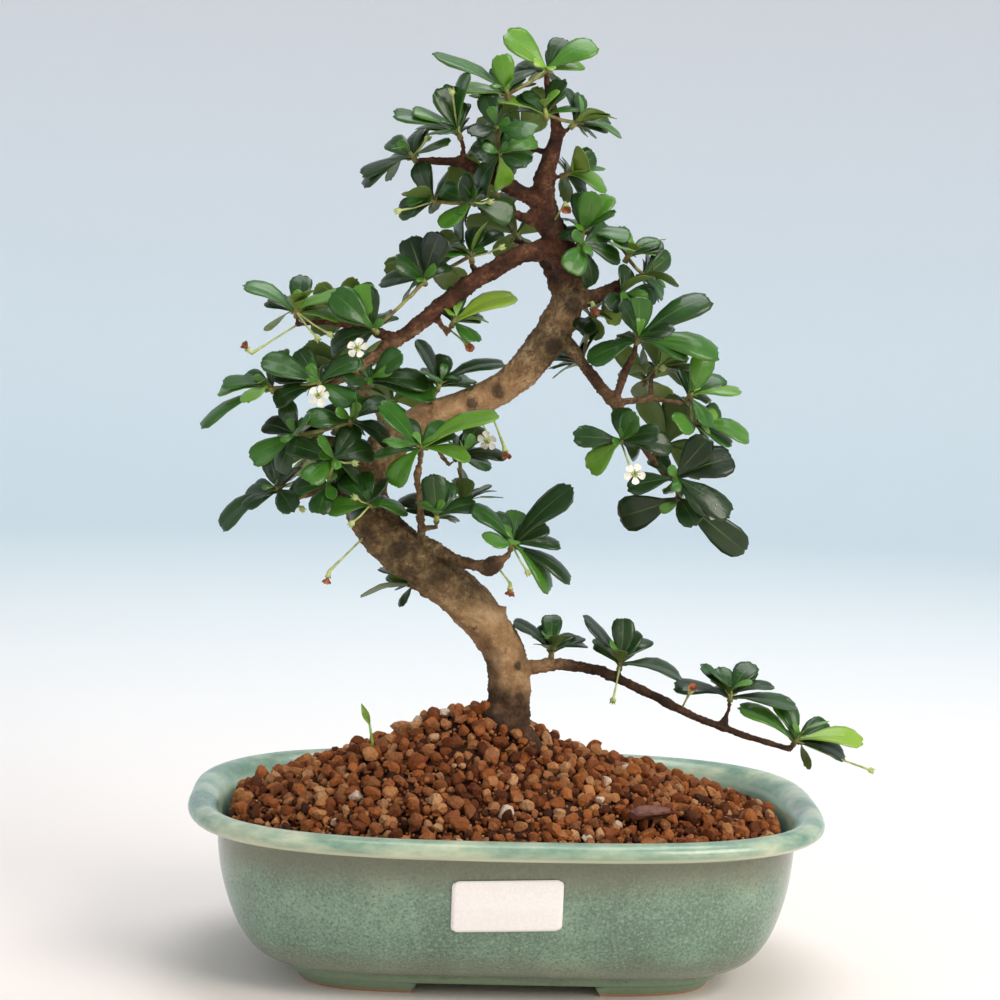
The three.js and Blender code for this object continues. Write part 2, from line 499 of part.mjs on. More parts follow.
// The ways to bend a leaf clear of what stands in its way: a turn about the shoot's axis and a lift along
// it, in degrees.
const BENDS = [
  [0, 0], [0, 12], [0, -12], [12, 0], [-12, 0], [0, 24], [0, -24], [24, 0], [-24, 0], [20, 20],
  [-20, 20], [20, -20],
  [-20, -20], [0, 40], [36, 0], [-36, 0],
];
function bent(blade, axis, [turn, lift]) {
  const along = blade.along.clone().applyAxisAngle(axis, THREE.MathUtils.degToRad(turn));
  const facing = blade.facing.clone().applyAxisAngle(axis, THREE.MathUtils.degToRad(turn));
  const hinge = along.clone().cross(facing).normalize();
  along.applyAxisAngle(hinge, THREE.MathUtils.degToRad(lift));
  facing.applyAxisAngle(hinge, THREE.MathUtils.degToRad(lift));
  return leaf(blade.foot, along, facing, blade.length, blade.width);
}

// Boxes are compared before the slower solid test.
const boxOf = (solid) => solid.boundingBox();
const boxesMeet = (a, b) => [0, 1, 2].every((i) => a.min[i] <= b.max[i] && b.min[i] <= a.max[i]);
const meets = (solid, others) => {
  const box = boxOf(solid);
  return others.filter((other) => boxesMeet(box, other.box) && overlaps(solid, other.solid));
};
const boxed = (solid, owner) => ({ solid, box: boxOf(solid), owner });

// A flower: a thin stalk, a green cup and five petals, wide open or withered shut.
const PETAL_EDGE = [0.42, 0.86, 1, 0.86];
function flower(centre, axis, stalkEnd, radius, shut) {
  const look = vec(axis).normalize();
  const at = vec(centre);
  const turn = new THREE.Quaternion().setFromUnitVectors(UP, look);
  const corolla = (lift) => Array.from({ length: 20 }, (_, k) => {
    const reach = radius * PETAL_EDGE[k % 4];
    const angle = (2 * Math.PI * k) / 20;
    const flat = Math.cos(shut);
    const out = new THREE.Vector3(Math.cos(angle) * flat, Math.sin(angle) * flat, Math.sin(shut));
    return out.multiplyScalar(reach).add(new THREE.Vector3(0, 0, lift)).applyQuaternion(turn).add(at);
  });
  const pole = (lift) => [at.clone().addScaledVector(look, lift)];
  const thick = PETAL_THICKNESS / Math.cos(shut);
  const petals = solidOf(loft([pole(-thick), corolla(-thick), corolla(0), pole(0)]));
  const back = at.clone().addScaledVector(look, -2.4);
  return petals.add(stem([stalkEnd, back, at.clone().addScaledVector(look, -0.2)], [0.5, 0.7, 1.3], 5));
}

// Open flowers and withered ones: name, centre and the way it faces.
const FLOWERS = [
  ["flower_1", [-63, -29, 248], [-0.2, -1, 0.35]],
  ["flower_2", [-77, -36, 230], [0, -1, 0.3]],
  ["flower_3", [43, -38, 204], [0.2, -1, 0.2]],
  ["flower_4", [75, -24, 190], [0.6, -0.8, 0.2]],
  ["flower_5", [-12, -10, 213], [-0.3, -0.9, -0.3]],
];
const WITHERED = [
  ["withered_flower_1", [15, -17, 304], [0.1, -0.8, -0.6]],
  ["withered_flower_2", [27, -16, 266], [0.2, -0.7, -0.7]],
  ["withered_flower_3", [-105, -18, 246], [-0.6, -0.4, 0.7]],
  ["withered_flower_4", [-21, -14, 250], [0.4, -0.8, -0.4]],
  ["withered_flower_5", [-5, -9, 209], [0.2, -0.6, -0.8]],
  ["withered_flower_6", [-72, -25, 160], [-0.2, -0.2, -1]],
  ["withered_flower_7", [-2, -23, 157], [0, -0.5, -0.9]],
  ["withered_flower_8", [71, -10, 117], [0.2, -0.6, 0.6]],
];

// Young seed cups on thin stalks: shoot and place.
const CUPS = [
  ["crown_left", [-30, -14, 347]], ["crown_left_tip", [-38, -12, 329]], ["crown_left_under", [-50, -16, 300]],
  ["crown_low_left", [-13, -14, 305]], ["upper_branch_top", [-8, -10, 288]],
  ["left_high_tip", [-78, -16, 250]],
  ["left_high_tip", [-73, -17, 252]], ["left_low_inner", [-62, -38, 205]], ["left_low_tip", [-89, -21, 184]],
  ["left_low_tip", [-82, -21, 185]], ["bend_front", [-63, -34, 192]], ["bend_front", [-64, -33, 181]],
  ["right_mid_back", [56, -6, 243]], ["right_low_under", [76, -17, 195]], ["trunk_back_shoot", [-28, 5, 162]],
  ["small_branch_tip", [5, -25, 163]], ["low_branch_tip", [144, -12, 87]], ["low_branch_2", [40, -13, 112]],
];
function cup(from, to) {
  const along = to.clone().sub(from).normalize();
  const near = to.clone().addScaledVector(along, -2);
  const bud = to.clone().addScaledVector(along, -0.9);
  return stem([from, near, bud, to], [STALK_RADIUS, STALK_RADIUS, 1.3, 0.7], 5);
}

// The label that is stuck to the front of the pot, bare, bent to the wall.
function label() {
  const [half, low, high] = [20.5, 37, 57];
  const columns = 6;
  const row = (z, lift) => Array.from({ length: columns + 1 }, (_, i) => {
    const x = -2 + half * (-1 + (2 * i) / columns);
    const tilt = z + 0.035 * (x + 2);
    const reach = outerReach(tilt);
    const power = squareness(reach);
    const y = -(reach - POT_INSET) * (1 - Math.abs(x / reach) ** power) ** (1 / power) - lift;
    return new THREE.Vector3(x, y, tilt);
  });
  const ring = (z) => [...row(z, 0.5), ...row(z, 1.1).reverse()];
  return solidOf(loft([ring(low), ring(45), ring(high)]));
}

// A curled dead leaf that has fallen on the soil, and a weed sprout that has come up in it.
function fallenLeaf() {
  const rings = [];
  for (let i = 0; i <= 6; i++) {
    const t = i / 6;
    const half = 1.2 + 5.2 * Math.sin(Math.PI * Math.min(1, 0.1 + 0.85 * t));
    const line = [-1, -0.5, 0, 0.5, 1].map((w) => {
      const curl = 2.6 * w * w * (1 - 0.5 * t) + 1.6 * Math.sin(2.4 * t);
      return new THREE.Vector3(-9 + 18 * t, w * half, curl);
    });
    rings.push([...line, ...line.map((p) => p.clone().add(new THREE.Vector3(0, 0, 0.8))).reverse()]);
  }
  return solidOf(loft(rings).rotateZ(0.5));
}
function sprout(foot) {
  const at = vec(foot);
  const top = at.clone().add(new THREE.Vector3(-2, -1, 13));
  const way = new THREE.Vector3(-0.55, -0.35, 0.75).normalize();
  const facing = new THREE.Vector3(-0.3, -0.8, 0.3).normalize();
  const blade = leaf(top.clone().addScaledVector(way, -1), way, facing, 11, 5);
  return stem([at, at.clone().add(new THREE.Vector3(-1.2, 0, 6)), top], [0.8, 0.6, 0.5], 5).add(blade);
}

const pieces = [];
const keep = (name, solid, material, origin) =>
  pieces.push({ name, solid: oneBody(solid), material, origin: vec(origin.map((v) => Math.round(v))) });

const shoots = SHOOTS.map(([name, foot, axis]) => ({ name, foot: vec(foot), axis: vec(axis).normalize() }));
const byName = (name) => shoots.findIndex((shoot) => shoot.name === name);
const linked = new Set(LINKS.map(([, second]) => byName(second)));
const twigLines = shoots.filter((_, i) => !linked.has(i)).map(({ foot, axis }) => twigLine(foot, axis));
const twigs = twigLines.map((line) => lineStem(line, 4));
const roots = ROOTS.map((points, i) => limb(points, 7, 1, 0, 60 + i));
const woodParts = [...limbSolids, ...roots, ...twigs].map((solid) => boxed(solid, -1));
const wood = joined([...limbSolids, ...roots, ...twigs]);

const potSolid = pot();
const rootHoles = ROOTS.map((points) => limb(points, 7, 1, 1.4));
const stemHole = joined([limb(LIMBS.trunk.slice(0, 5), 12, 2, 2), ...rootHoles]);
const sproutFoot = [-56, -8, soilHeight(-56, -8) - 3];
const sproutHole = new THREE.CylinderGeometry(1.4, 1.4, 12, 8).rotateX(Math.PI / 2)
  .translate(-56, -8, sproutFoot[2] + 5.6);
const holes = joined([stemHole, stemHole.translate(0, 0, -0.7), solidOf(sproutHole)]);
const soilSolid = oneBody(soil().subtract(holes));

const stubs = shoots.map(({ foot, axis }, i) =>
  boxed(stem([foot, foot.clone().addScaledVector(axis, SHOOT_HEIGHT)], [SHOOT_RADIUS, 0.7], 5), i));
const links = LINKS.map(([first, second]) => {
  const [i, j] = [byName(first), byName(second)];
  return { ...boxed(linkBetween(shoots[i], shoots[j]), i), other: j };
});

// A blossom's stalk starts just off the wood that is nearest to it.
const blossoms = [];
function seated(centre, look, radius, shut) {
  const back = vec(centre).addScaledVector(vec(look).normalize(), -2.4);
  const seats = nearOnLines(back, [...Object.values(LIMBS), ...twigLines]).slice(0, 20);
  for (const { at, radius: thick } of seats) {
    const way = back.clone().sub(at).normalize();
    for (let off = 0.6 * thick; off < 1.3 * thick + 1.2; off += 0.1) {
      const start = at.clone().addScaledVector(way, off);
      const taken = [...woodParts, ...stubs, ...links, ...blossoms];
      if (meets(flower(centre, look, start, radius, shut), taken).length) continue;
      return flower(centre, look, start.addScaledVector(way, 0.2), radius, shut);
    }
  }
  throw new Error(`no seat for a blossom at ${centre}`);
}
for (const [name, at, look] of FLOWERS) {
  const solid = seated(at, look, FLOWER_RADIUS, 0.25);
  blossoms.push(boxed(solid, -1));
  keep(name, solid, "petal", at);
}
for (const [name, at, look] of WITHERED) {
  const solid = seated(at, look, WITHERED_RADIUS, 0.95);
  blossoms.push(boxed(solid, -1));
  keep(name, solid, "withered", at);
}
const sproutSolid = sprout(sproutFoot);
const standing = [potSolid, soilSolid, sproutSolid].map((solid) => boxed(solid, -1));
const obstacles = [...woodParts, ...blossoms, ...standing];

const grown = [];
const group = SHOOTS.map((_, i) => i);
const rootOf = (i) => (group[i] === i ? i : rootOf(group[i]));
const join = (i, others) => others.forEach((other) => (group[rootOf(other.owner)] = rootOf(i)));
for (const link of links) {
  join(link.owner, [{ owner: link.other }]);
  grown.push(link);
}
shoots.forEach(({ axis }, i) => {
  const stub = stubs[i];
  join(i, meets(stub.solid, grown.filter((g) => g.owner !== i)));
  grown.push(stub);
  leavesOf(i).forEach((blade) => {
    let spare = null;
    let chosen = null;
    for (const bend of BENDS) {
      const solid = bent(blade, axis, bend);
      if (meets(solid, obstacles).length) continue;
      if (!meets(solid, grown.filter((g) => g.owner !== i)).length) {
        chosen = solid;
        break;
      }
      spare ??= solid;
    }
    chosen ??= spare;
    if (!chosen) return;
    join(i, meets(chosen, grown.filter((g) => g.owner !== i)));
    grown.push(boxed(chosen, i));
  });
});
for (const [name, place] of CUPS) {
  const i = shoots.findIndex((shoot) => shoot.name === name);
  const from = shoots[i].foot.clone().addScaledVector(shoots[i].axis, 2);
  const solid = cup(from, vec(place));
  if (meets(solid, obstacles).length) continue;
  join(i, meets(solid, grown.filter((g) => g.owner !== i)));
  grown.push(boxed(solid, i));
}
shoots.forEach(({ name, foot }, i) => {
  if (rootOf(i) !== i) return;
  const members = grown.filter((g) => rootOf(g.owner) === i);
  keep(`shoot_${name}`, joined(members.map((g) => g.solid)), "leaf", foot.toArray());
});

keep("wood", wood, "bark", [0, 0, 100]);
keep("pot", potSolid, "glaze", [0, 0, 0]);
keep("soil", soilSolid, "soil", [0, 0, 62]);
keep("label", label(), "label", [-2, -81, 47]);
keep("drainage_mesh_1", drainageMesh(-DRAIN_OFFSET), "mesh", [-DRAIN_OFFSET, 0, FLOOR_TOP]);
keep("drainage_mesh_2", drainageMesh(DRAIN_OFFSET), "mesh", [DRAIN_OFFSET, 0, FLOOR_TOP]);
keep("weed_sprout", sproutSolid, "weed", sproutFoot);
let drop = soilHeight(54, -48) - 4;
while (overlaps(fallenLeaf().translate(54, -48, drop), soilSolid)) drop += 0.1;
keep("fallen_leaf", fallenLeaf().translate(54, -48, drop + 0.2), "fallen", [54, -48, drop]);

const MATERIALS = {
  bark: { color: 0x8a6b4c, roughness: 0.9 },
  leaf: { color: 0x3f6b2a, roughness: 0.35 },
  glaze: { color: 0x5d8f83, roughness: 0.2 },
  soil: { color: 0x7d5236, roughness: 0.95 },
  label: { color: 0xf4f4f2, roughness: 0.5 },
  mesh: { color: 0x1d1d1d, roughness: 0.6 },
  petal: { color: 0xfbfaf2, roughness: 0.6 },
  withered: { color: 0xb9773a, roughness: 0.8 },
  weed: { color: 0x7fae4a, roughness: 0.5 },
  fallen: { color: 0x5a2f26, roughness: 0.7 },
};
const materials = Object.fromEntries(Object.entries(MATERIALS).map(([name, look]) =>
  [name, new THREE.MeshStandardMaterial({ name, metalness: 0, ...look })]));

// The tree leans past the pot, so the origin moves to the middle of the whole part's footprint.
const whole = new THREE.Box3();
for (const { solid } of pieces) {
  const box = boxOf(solid);
  whole.union(new THREE.Box3(vec(box.min), vec(box.max)));
}
const middle = whole.getCenter(new THREE.Vector3());
const root = new THREE.Group();
root.name = "fukien_tea_bonsai";
const onGrid = (v) => Math.round(v / ROUNDING) * ROUNDING;
root.position.set(-onGrid(middle.x), -onGrid(middle.y), -onGrid(whole.min.z));
for (const { name, solid, material, origin } of pieces) {
  const mesh = solid.getMesh();
  const geometry = new THREE.BufferGeometry()
    .setAttribute("position", new THREE.Float32BufferAttribute(Array.from(mesh.vertProperties, onGrid), 3))
    .setIndex(new THREE.Uint32BufferAttribute(mesh.triVerts, 1))
    .translate(-origin.x, -origin.y, -origin.z);
  const node = new THREE.Mesh(geometry, materials[material]);
  node.name = name;
  node.position.copy(origin);
  root.add(node);
}
export default root;
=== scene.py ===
import math

import bmesh
import bpy
import numpy as np
from mathutils import Euler, Matrix, Quaternion, Vector, kdtree, noise


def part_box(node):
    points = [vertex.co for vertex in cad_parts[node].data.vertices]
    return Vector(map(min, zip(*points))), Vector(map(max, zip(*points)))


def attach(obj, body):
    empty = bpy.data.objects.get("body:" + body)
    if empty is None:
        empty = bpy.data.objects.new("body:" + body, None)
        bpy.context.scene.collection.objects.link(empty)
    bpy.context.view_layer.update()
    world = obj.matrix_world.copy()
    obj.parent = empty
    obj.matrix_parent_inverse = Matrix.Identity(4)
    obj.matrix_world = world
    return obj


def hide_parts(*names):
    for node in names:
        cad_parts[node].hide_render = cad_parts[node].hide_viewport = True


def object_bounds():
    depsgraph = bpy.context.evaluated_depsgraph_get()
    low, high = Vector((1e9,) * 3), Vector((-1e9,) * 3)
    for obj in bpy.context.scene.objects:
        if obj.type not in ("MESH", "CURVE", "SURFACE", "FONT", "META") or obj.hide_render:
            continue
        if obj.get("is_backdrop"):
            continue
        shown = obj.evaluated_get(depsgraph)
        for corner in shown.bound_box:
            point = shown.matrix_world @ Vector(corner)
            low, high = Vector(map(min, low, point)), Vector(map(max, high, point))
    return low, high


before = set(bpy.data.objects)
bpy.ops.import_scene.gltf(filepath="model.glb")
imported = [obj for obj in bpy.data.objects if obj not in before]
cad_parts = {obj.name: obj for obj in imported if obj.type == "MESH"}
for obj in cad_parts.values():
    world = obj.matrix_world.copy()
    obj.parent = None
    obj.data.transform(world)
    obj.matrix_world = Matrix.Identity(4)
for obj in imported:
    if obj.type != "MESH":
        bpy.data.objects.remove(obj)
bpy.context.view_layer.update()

# Pot.
# A shallow oval bonsai pot of pressed stoneware with a rolled lip, a low plinth and four corner feet. Its
# celadon glaze breaks pale on the lip, goes brown where it is thin and stops short of the soles. Sizes
# are in millimetres from the pot's middle, and at() turns them into the frame's metres.
pot_low, pot_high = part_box("pot")
FOOT_BOTTOM = 4.5
POT_MIDDLE = Vector(
    ((pot_low[0] + pot_high[0]) / 2, (pot_low[1] + pot_high[1]) / 2, pot_low[2] - FOOT_BOTTOM / 1000)
)
# How much less far the pot reaches to its front than to its ends.
POT_INSET = 31.5


def at(x, y, z):
    """A place in millimetres from the pot's middle, with the floor at FOOT_BOTTOM, in the frame."""
    return POT_MIDDLE + Vector((x, y, z)) / 1000


def paint(hex_code):
    """An sRGB hex colour as linear RGBA."""
    parts = [int(hex_code[i : i + 2], 16) / 255 for i in (1, 3, 5)]
    return tuple(c / 12.92 if c <= 0.04045 else ((c + 0.055) / 1.055) ** 2.4 for c in parts) + (1.0,)


def add_node(tree, kind, inputs=None, stops=None, **settings):
    """Adds a node with its settings, values and links; stops are a colour ramp's positions and colours.

    A node given as a value is linked from its first output that is in use.
    """
    made = tree.nodes.new(kind)
    for key, value in settings.items():
        setattr(made, key, value)
    for key, value in (inputs or {}).items():
        if isinstance(value, bpy.types.Node):
            value = next(socket for socket in value.outputs if socket.enabled)
        if isinstance(value, bpy.types.NodeSocket):
            tree.links.new(value, made.inputs[key])
        else:
            made.inputs[key].default_value = value
    if stops:
        marks = made.color_ramp.elements
        while len(marks) < len(stops):
            marks.new(1.0)
        for mark, (place, shade) in zip(marks, stops):
            mark.position = place
            mark.color = paint(shade) if isinstance(shade, str) else (shade, shade, shade, 1.0)
    return made


def start_material(name, **surface):
    """A node material with its shader's fixed values set.

    Gives the material, its tree, its shader and the places in object space that its patterns are drawn in.
    """
    made = bpy.data.materials.new(name)
    made.use_nodes = True
    tree = made.node_tree
    shader = tree.nodes["Principled BSDF"]
    for key, value in surface.items():
        shader.inputs[key.replace("_", " ")].default_value = value
    return made, tree, shader, add_node(tree, "ShaderNodeTexCoord").outputs["Object"]


def make_piece(name, points, faces, material, smooth=True):
    """A mesh object at the origin, made from points in metres."""
    mesh = bpy.data.meshes.new(name)
    mesh.from_pydata([tuple(p) for p in points], [], [tuple(f) for f in faces])
    mesh.validate()
    mesh.polygons.foreach_set("use_smooth", [smooth] * len(mesh.polygons))
    mesh.materials.append(material)
    piece = bpy.data.objects.new(name, mesh)
    bpy.context.scene.collection.objects.link(piece)
    return piece


def squareness(reach):
    """How square the pot's plan is where it reaches so far: rounder at the lip than at the foot."""
    return min(4.6, max(3.0, 3 + 1.6 * (112 - reach) / 22))


def oval(reach, z, sides):
    """A ring of the pot's plan with its points evenly spaced."""
    angle = np.linspace(0, 2 * math.pi, 1441)
    bend = 2 / squareness(reach)
    x = reach * np.sign(np.cos(angle)) * np.abs(np.cos(angle)) ** bend
    y = (reach - POT_INSET) * np.sign(np.sin(angle)) * np.abs(np.sin(angle)) ** bend
    gone = np.concatenate([[0], np.cumsum(np.hypot(np.diff(x), np.diff(y)))])
    even = np.arange(sides) / sides * gone[-1]
    return [(a, b, z) for a, b in zip(np.interp(even, gone, x), np.interp(even, gone, y))]


def smooth_line(marks, steps):
    """Points on a smooth curve through the marks."""
    marks = [Vector(m) for m in marks]
    line = []
    for i in range(len(marks) - 1):
        a, b = marks[max(0, i - 1)], marks[i]
        c, d = marks[i + 1], marks[min(len(marks) - 1, i + 2)]
        for k in range(steps):
            t = k / steps
            pull = (c - a) * t + (2 * a - 5 * b + 4 * c - d) * t**2 + (3 * b - a - 3 * c + d) * t**3
            line.append(0.5 * (2 * b + pull))
    return line + [marks[-1]]


def skin(rings):
    """Quads between rings of equal length, closed round each ring."""
    n = len(rings[0])
    faces = []
    for r in range(len(rings) - 1):
        a, b = r * n, (r + 1) * n
        faces += [(a + k, a + (k + 1) % n, b + (k + 1) % n, b + k) for k in range(n)]
    return faces


# The profile from the underside over the lip to the inner floor: each ring's reach sideways and its height.
PLINTH = [(83.2, 9.3), (84.6, 9.7), (85.2, 11.2), (85.9, 13.2)]
OUTER_WALL = [
    (87.0, 13.6), (89.5, 13.7), (92.5, 14.8), (96, 16.8), (100, 20), (105, 26.8), (109, 36), (111.7, 46),
    (112.8, 55), (113.3, 62.2),
]
LIP = [
    (114.6, 64.6), (118, 65.4), (121.6, 65.8), (123.6, 67.3), (124.3, 69.2), (123.2, 71.4), (120.4, 72.7),
    (117.4, 72.4), (114.6, 70.6), (112.2, 67.4),
]
INNER_WALL = [(110.4, 62), (108.5, 50), (105, 38), (100, 28.5), (94, 22.5), (85, 17)]
POT_SIDES = 220
profile = smooth_line([(reach, z, 0) for reach, z in PLINTH], 2)
profile += smooth_line([(reach, z, 0) for reach, z in OUTER_WALL + LIP + INNER_WALL], 3)
rings = []
for mark in profile:
    ring = oval(mark.x, mark.y, POT_SIDES)
    # A pressed and dipped pot is never quite true: its wall and lip wave by a few tenths of a millimetre.
    wave = [0.4 * noise.noise(Vector((x, y, 0.5 * z)) * 0.03) * min(1, z / 60) for x, y, z in ring]
    rings.append([(x * (1 + w / 125), y * (1 + w / 125), z + 0.5 * w) for (x, y, z), w in zip(ring, wave)])
pot_points = [at(*p) for ring in rings for p in ring]
pot_faces = skin(rings)
# The underside and the inner floor are closed with a fan of faces each.
for ring, z, turned in ((0, PLINTH[0][1], True), (len(rings) - 1, INNER_WALL[-1][1], False)):
    start, middle = ring * POT_SIDES, len(pot_points)
    pot_points.append(at(0, 0, z))
    for k in range(POT_SIDES):
        edge = (start + k, start + (k + 1) % POT_SIDES)
        pot_faces.append((edge[1], edge[0], middle) if turned else (edge[0], edge[1], middle))
# Each foot's section, from its inner top round its sole to its outer top: reach, height, and how far from
# the middle its two sloping ends are at that height.
FOOT_SECTION = [
    (72.6, 10.3, 33, 16), (71.2, 4.9, 36, 18), (72, 4.5, 36, 18), (79.6, 4.5, 36, 18), (80.4, 5.1, 36, 18),
    (82.9, 10.3, 33, 16),
]
FOOT_STEPS = 30
for side_x in (-1, 1):
    for side_y in (-1, 1):
        foot_rings = []
        for k in range(FOOT_STEPS + 1):
            ring = []
            for reach, z, front_end, side_end in FOOT_SECTION:
                power = squareness(reach)
                first = math.acos((front_end / reach) ** (power / 2))
                last = math.asin((side_end / (reach - POT_INSET)) ** (power / 2))
                spread = first + (last - first) * k / FOOT_STEPS
                x = reach * side_x * math.cos(spread) ** (2 / power)
                y = (reach - POT_INSET) * side_y * math.sin(spread) ** (2 / power)
                ring.append(at(x, y, z))
            foot_rings.append(ring)
        start, n = len(pot_points), len(FOOT_SECTION)
        pot_points += [p for ring in foot_rings for p in ring]
        foot_ends = [tuple(range(n)), tuple(FOOT_STEPS * n + i for i in reversed(range(n)))]
        pot_faces += [tuple(start + i for i in face) for face in skin(foot_rings) + foot_ends]

# Celadon: a satin green glaze, finely mottled with dark specks and milky flecks, over grey-brown stoneware.
# A noise's scale is 1000 over the size of its spots in millimetres: here clouds of about 25 mm, and flecks
# of 1 mm, which is coarser than the real ones so that they show.
glaze, tree, shader, spot = start_material(
    "celadon_glaze", Roughness=0.27, IOR=1.5, Coat_Weight=0.3, Coat_Roughness=0.1
)
above = add_node(tree, "ShaderNodeSeparateXYZ", {"Vector": spot}).outputs["Z"]
blotch = add_node(
    tree, "ShaderNodeTexNoise", {"Vector": spot, "Scale": 42.0, "Detail": 4.0, "Roughness": 0.6}
)
fleck = add_node(
    tree, "ShaderNodeTexNoise", {"Vector": spot, "Scale": 900.0, "Detail": 3.0, "Roughness": 0.7}
)
drift = add_node(
    tree, "ShaderNodeTexNoise", {"Vector": spot, "Scale": 38.0, "Detail": 5.0, "Roughness": 0.65}
)
# A height that wanders by up to 12 mm, so that no band of colour ends in a straight line. A share of 1 is
# 80 mm up.
height = add_node(tree, "ShaderNodeMath", {0: drift, 1: 0.012, 2: above}, operation="MULTIPLY_ADD")
share = add_node(tree, "ShaderNodeMath", {0: height, 1: 12.5}, operation="MULTIPLY")
coat = add_node(
    tree, "ShaderNodeValToRGB", {"Fac": blotch},
    stops=[(0.32, "#5c7562"), (0.46, "#66816e"), (0.58, "#708d79"), (0.72, "#869c86")],
)
# Over it lie dark specks, milky flecks, and brown where the glaze has run thin: under the lip, and low on
# the wall above the plinth.
for pattern, stops, tint in (
    (fleck, [(0.34, 0.75), (0.48, 0.0)], "#4d5b4b"), (fleck, [(0.53, 0.0), (0.68, 0.6)], "#93ad97"),
    (
        share, [(0.15, 0.0), (0.20, 0.55), (0.27, 0.5), (0.36, 0.0), (0.62, 0.0), (0.74, 0.7), (0.80, 0.8)],
        "#6d6e5b",
    ),
):
    mask = add_node(tree, "ShaderNodeValToRGB", {"Fac": pattern}, stops=stops)
    coat = add_node(tree, "ShaderNodeMix", {0: mask, 6: coat, 7: paint(tint)}, data_type="RGBA")
# Above the neck the coat is thick and streaked. The rolled lip breaks to cream along its lower edge.
streak_space = add_node(tree, "ShaderNodeMapping", {"Vector": spot, "Scale": (0.45, 0.6, 1.3)})
streak = add_node(
    tree, "ShaderNodeTexNoise", {"Vector": streak_space, "Scale": 60.0, "Detail": 5.0, "Roughness": 0.6}
)
lip_colour = add_node(
    tree, "ShaderNodeValToRGB", {"Fac": streak},
    stops=[(0.32, "#4f7566"), (0.43, "#739480"), (0.53, "#98ad95"), (0.63, "#bcc4a8"), (0.76, "#dddcc0")],
)
lip_mask = add_node(
    tree, "ShaderNodeMapRange", {"Value": above, "From Min": 0.0595, "From Max": 0.0612}
)
edge_height = add_node(tree, "ShaderNodeMath", {0: streak, 1: 0.004, 2: above}, operation="MULTIPLY_ADD")
edge_share = add_node(tree, "ShaderNodeMath", {0: edge_height, 1: 12.5}, operation="MULTIPLY")
edge_mask = add_node(
    tree, "ShaderNodeValToRGB", {"Fac": edge_share},
    stops=[(0.775, 0.0), (0.787, 0.8), (0.803, 0.7), (0.818, 0.0)],
)
edged = add_node(
    tree, "ShaderNodeMix", {0: edge_mask, 6: lip_colour, 7: paint("#cfd0b2")}, data_type="RGBA"
)
coat = add_node(tree, "ShaderNodeMix", {0: lip_mask, 6: coat, 7: edged}, data_type="RGBA")
# Inside the pot the coat is even and milky, marked point by point.
inner_colour = add_node(
    tree, "ShaderNodeValToRGB", {"Fac": streak},
    stops=[(0.32, "#7ba38e"), (0.50, "#97bda5"), (0.70, "#b3cfb8")],
)
inside_amount = add_node(tree, "ShaderNodeAttribute", attribute_name="inside").outputs["Fac"]
coat = add_node(tree, "ShaderNodeMix", {0: inside_amount, 6: coat, 7: inner_colour}, data_type="RGBA")
# The plinth and feet are pale green, and the clay shows orange round their soles.
sole_height = add_node(tree, "ShaderNodeMath", {0: drift, 1: -0.0012, 2: above}, operation="MULTIPLY_ADD")
for level, low, high, most, tint in (
    (height, 0.0125, 0.0145, 0.75, "#7f9677"), (sole_height, 0.0, 0.0008, 1.0, "#c78f67"),
):
    mask = add_node(
        tree, "ShaderNodeMapRange",
        {"Value": level, "From Min": low, "From Max": high, "To Min": most, "To Max": 0.0},
    )
    coat = add_node(tree, "ShaderNodeMix", {0: mask, 6: coat, 7: paint(tint)}, data_type="RGBA")
tree.links.new(coat.outputs[2], shader.inputs["Base Color"])
ripple = add_node(tree, "ShaderNodeTexNoise", {"Vector": spot, "Scale": 260.0, "Detail": 3.0})
bump = add_node(tree, "ShaderNodeBump", {"Height": ripple, "Strength": 0.16, "Distance": 0.0005})
tree.links.new(bump.outputs["Normal"], shader.inputs["Normal"])

pot = make_piece("glazed_pot", pot_points, pot_faces, glaze)
inside = np.zeros(len(pot_points), dtype=np.float32)
inner_start = len(profile) - 3 * (len(INNER_WALL) + 1)
for r in range(inner_start, len(profile)):
    inside[r * POT_SIDES : (r + 1) * POT_SIDES] = min(1.0, (r - inner_start) / 4)
pot.data.attributes.new("inside", "FLOAT", "POINT").data.foreach_set("value", inside)
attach(pot, "root")
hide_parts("pot")

# Label.
# A paper sticker with rounded corners, left bare, pressed onto the front wall so that it bends with it.
LABEL_WIDTH, LABEL_TALL, CORNER = 41.0, 20.0, 2.2
# Its middle on the wall, how much it slopes, and how many faces it has across and up.
LABEL_X, LABEL_Z, LABEL_SLOPE = -2, 47, 0.035
COLUMNS, ROWS = 24, 20
# Paper: smooth and slightly shiny. Its fibres are drawn at about 1 mm, coarser than real ones.
paper, tree, shader, spot = start_material("label_paper", Roughness=0.42)
fibre = add_node(tree, "ShaderNodeTexNoise", {"Vector": spot, "Scale": 900.0, "Detail": 3.0})
white = add_node(tree, "ShaderNodeValToRGB", {"Fac": fibre}, stops=[(0.3, "#eae7e6"), (0.7, "#f2f0ef")])
tree.links.new(white.outputs["Color"], shader.inputs["Base Color"])


def on_wall(x, z, lift):
    """The place on the front wall at a distance along it, lifted off the glaze."""
    reach = float(np.interp(z, [mark[1] for mark in OUTER_WALL], [mark[0] for mark in OUTER_WALL]))
    power = squareness(reach)
    return at(x, -(reach - POT_INSET) * (1 - abs(x / reach) ** power) ** (1 / power) - lift, z)


label_points, label_faces = [], []
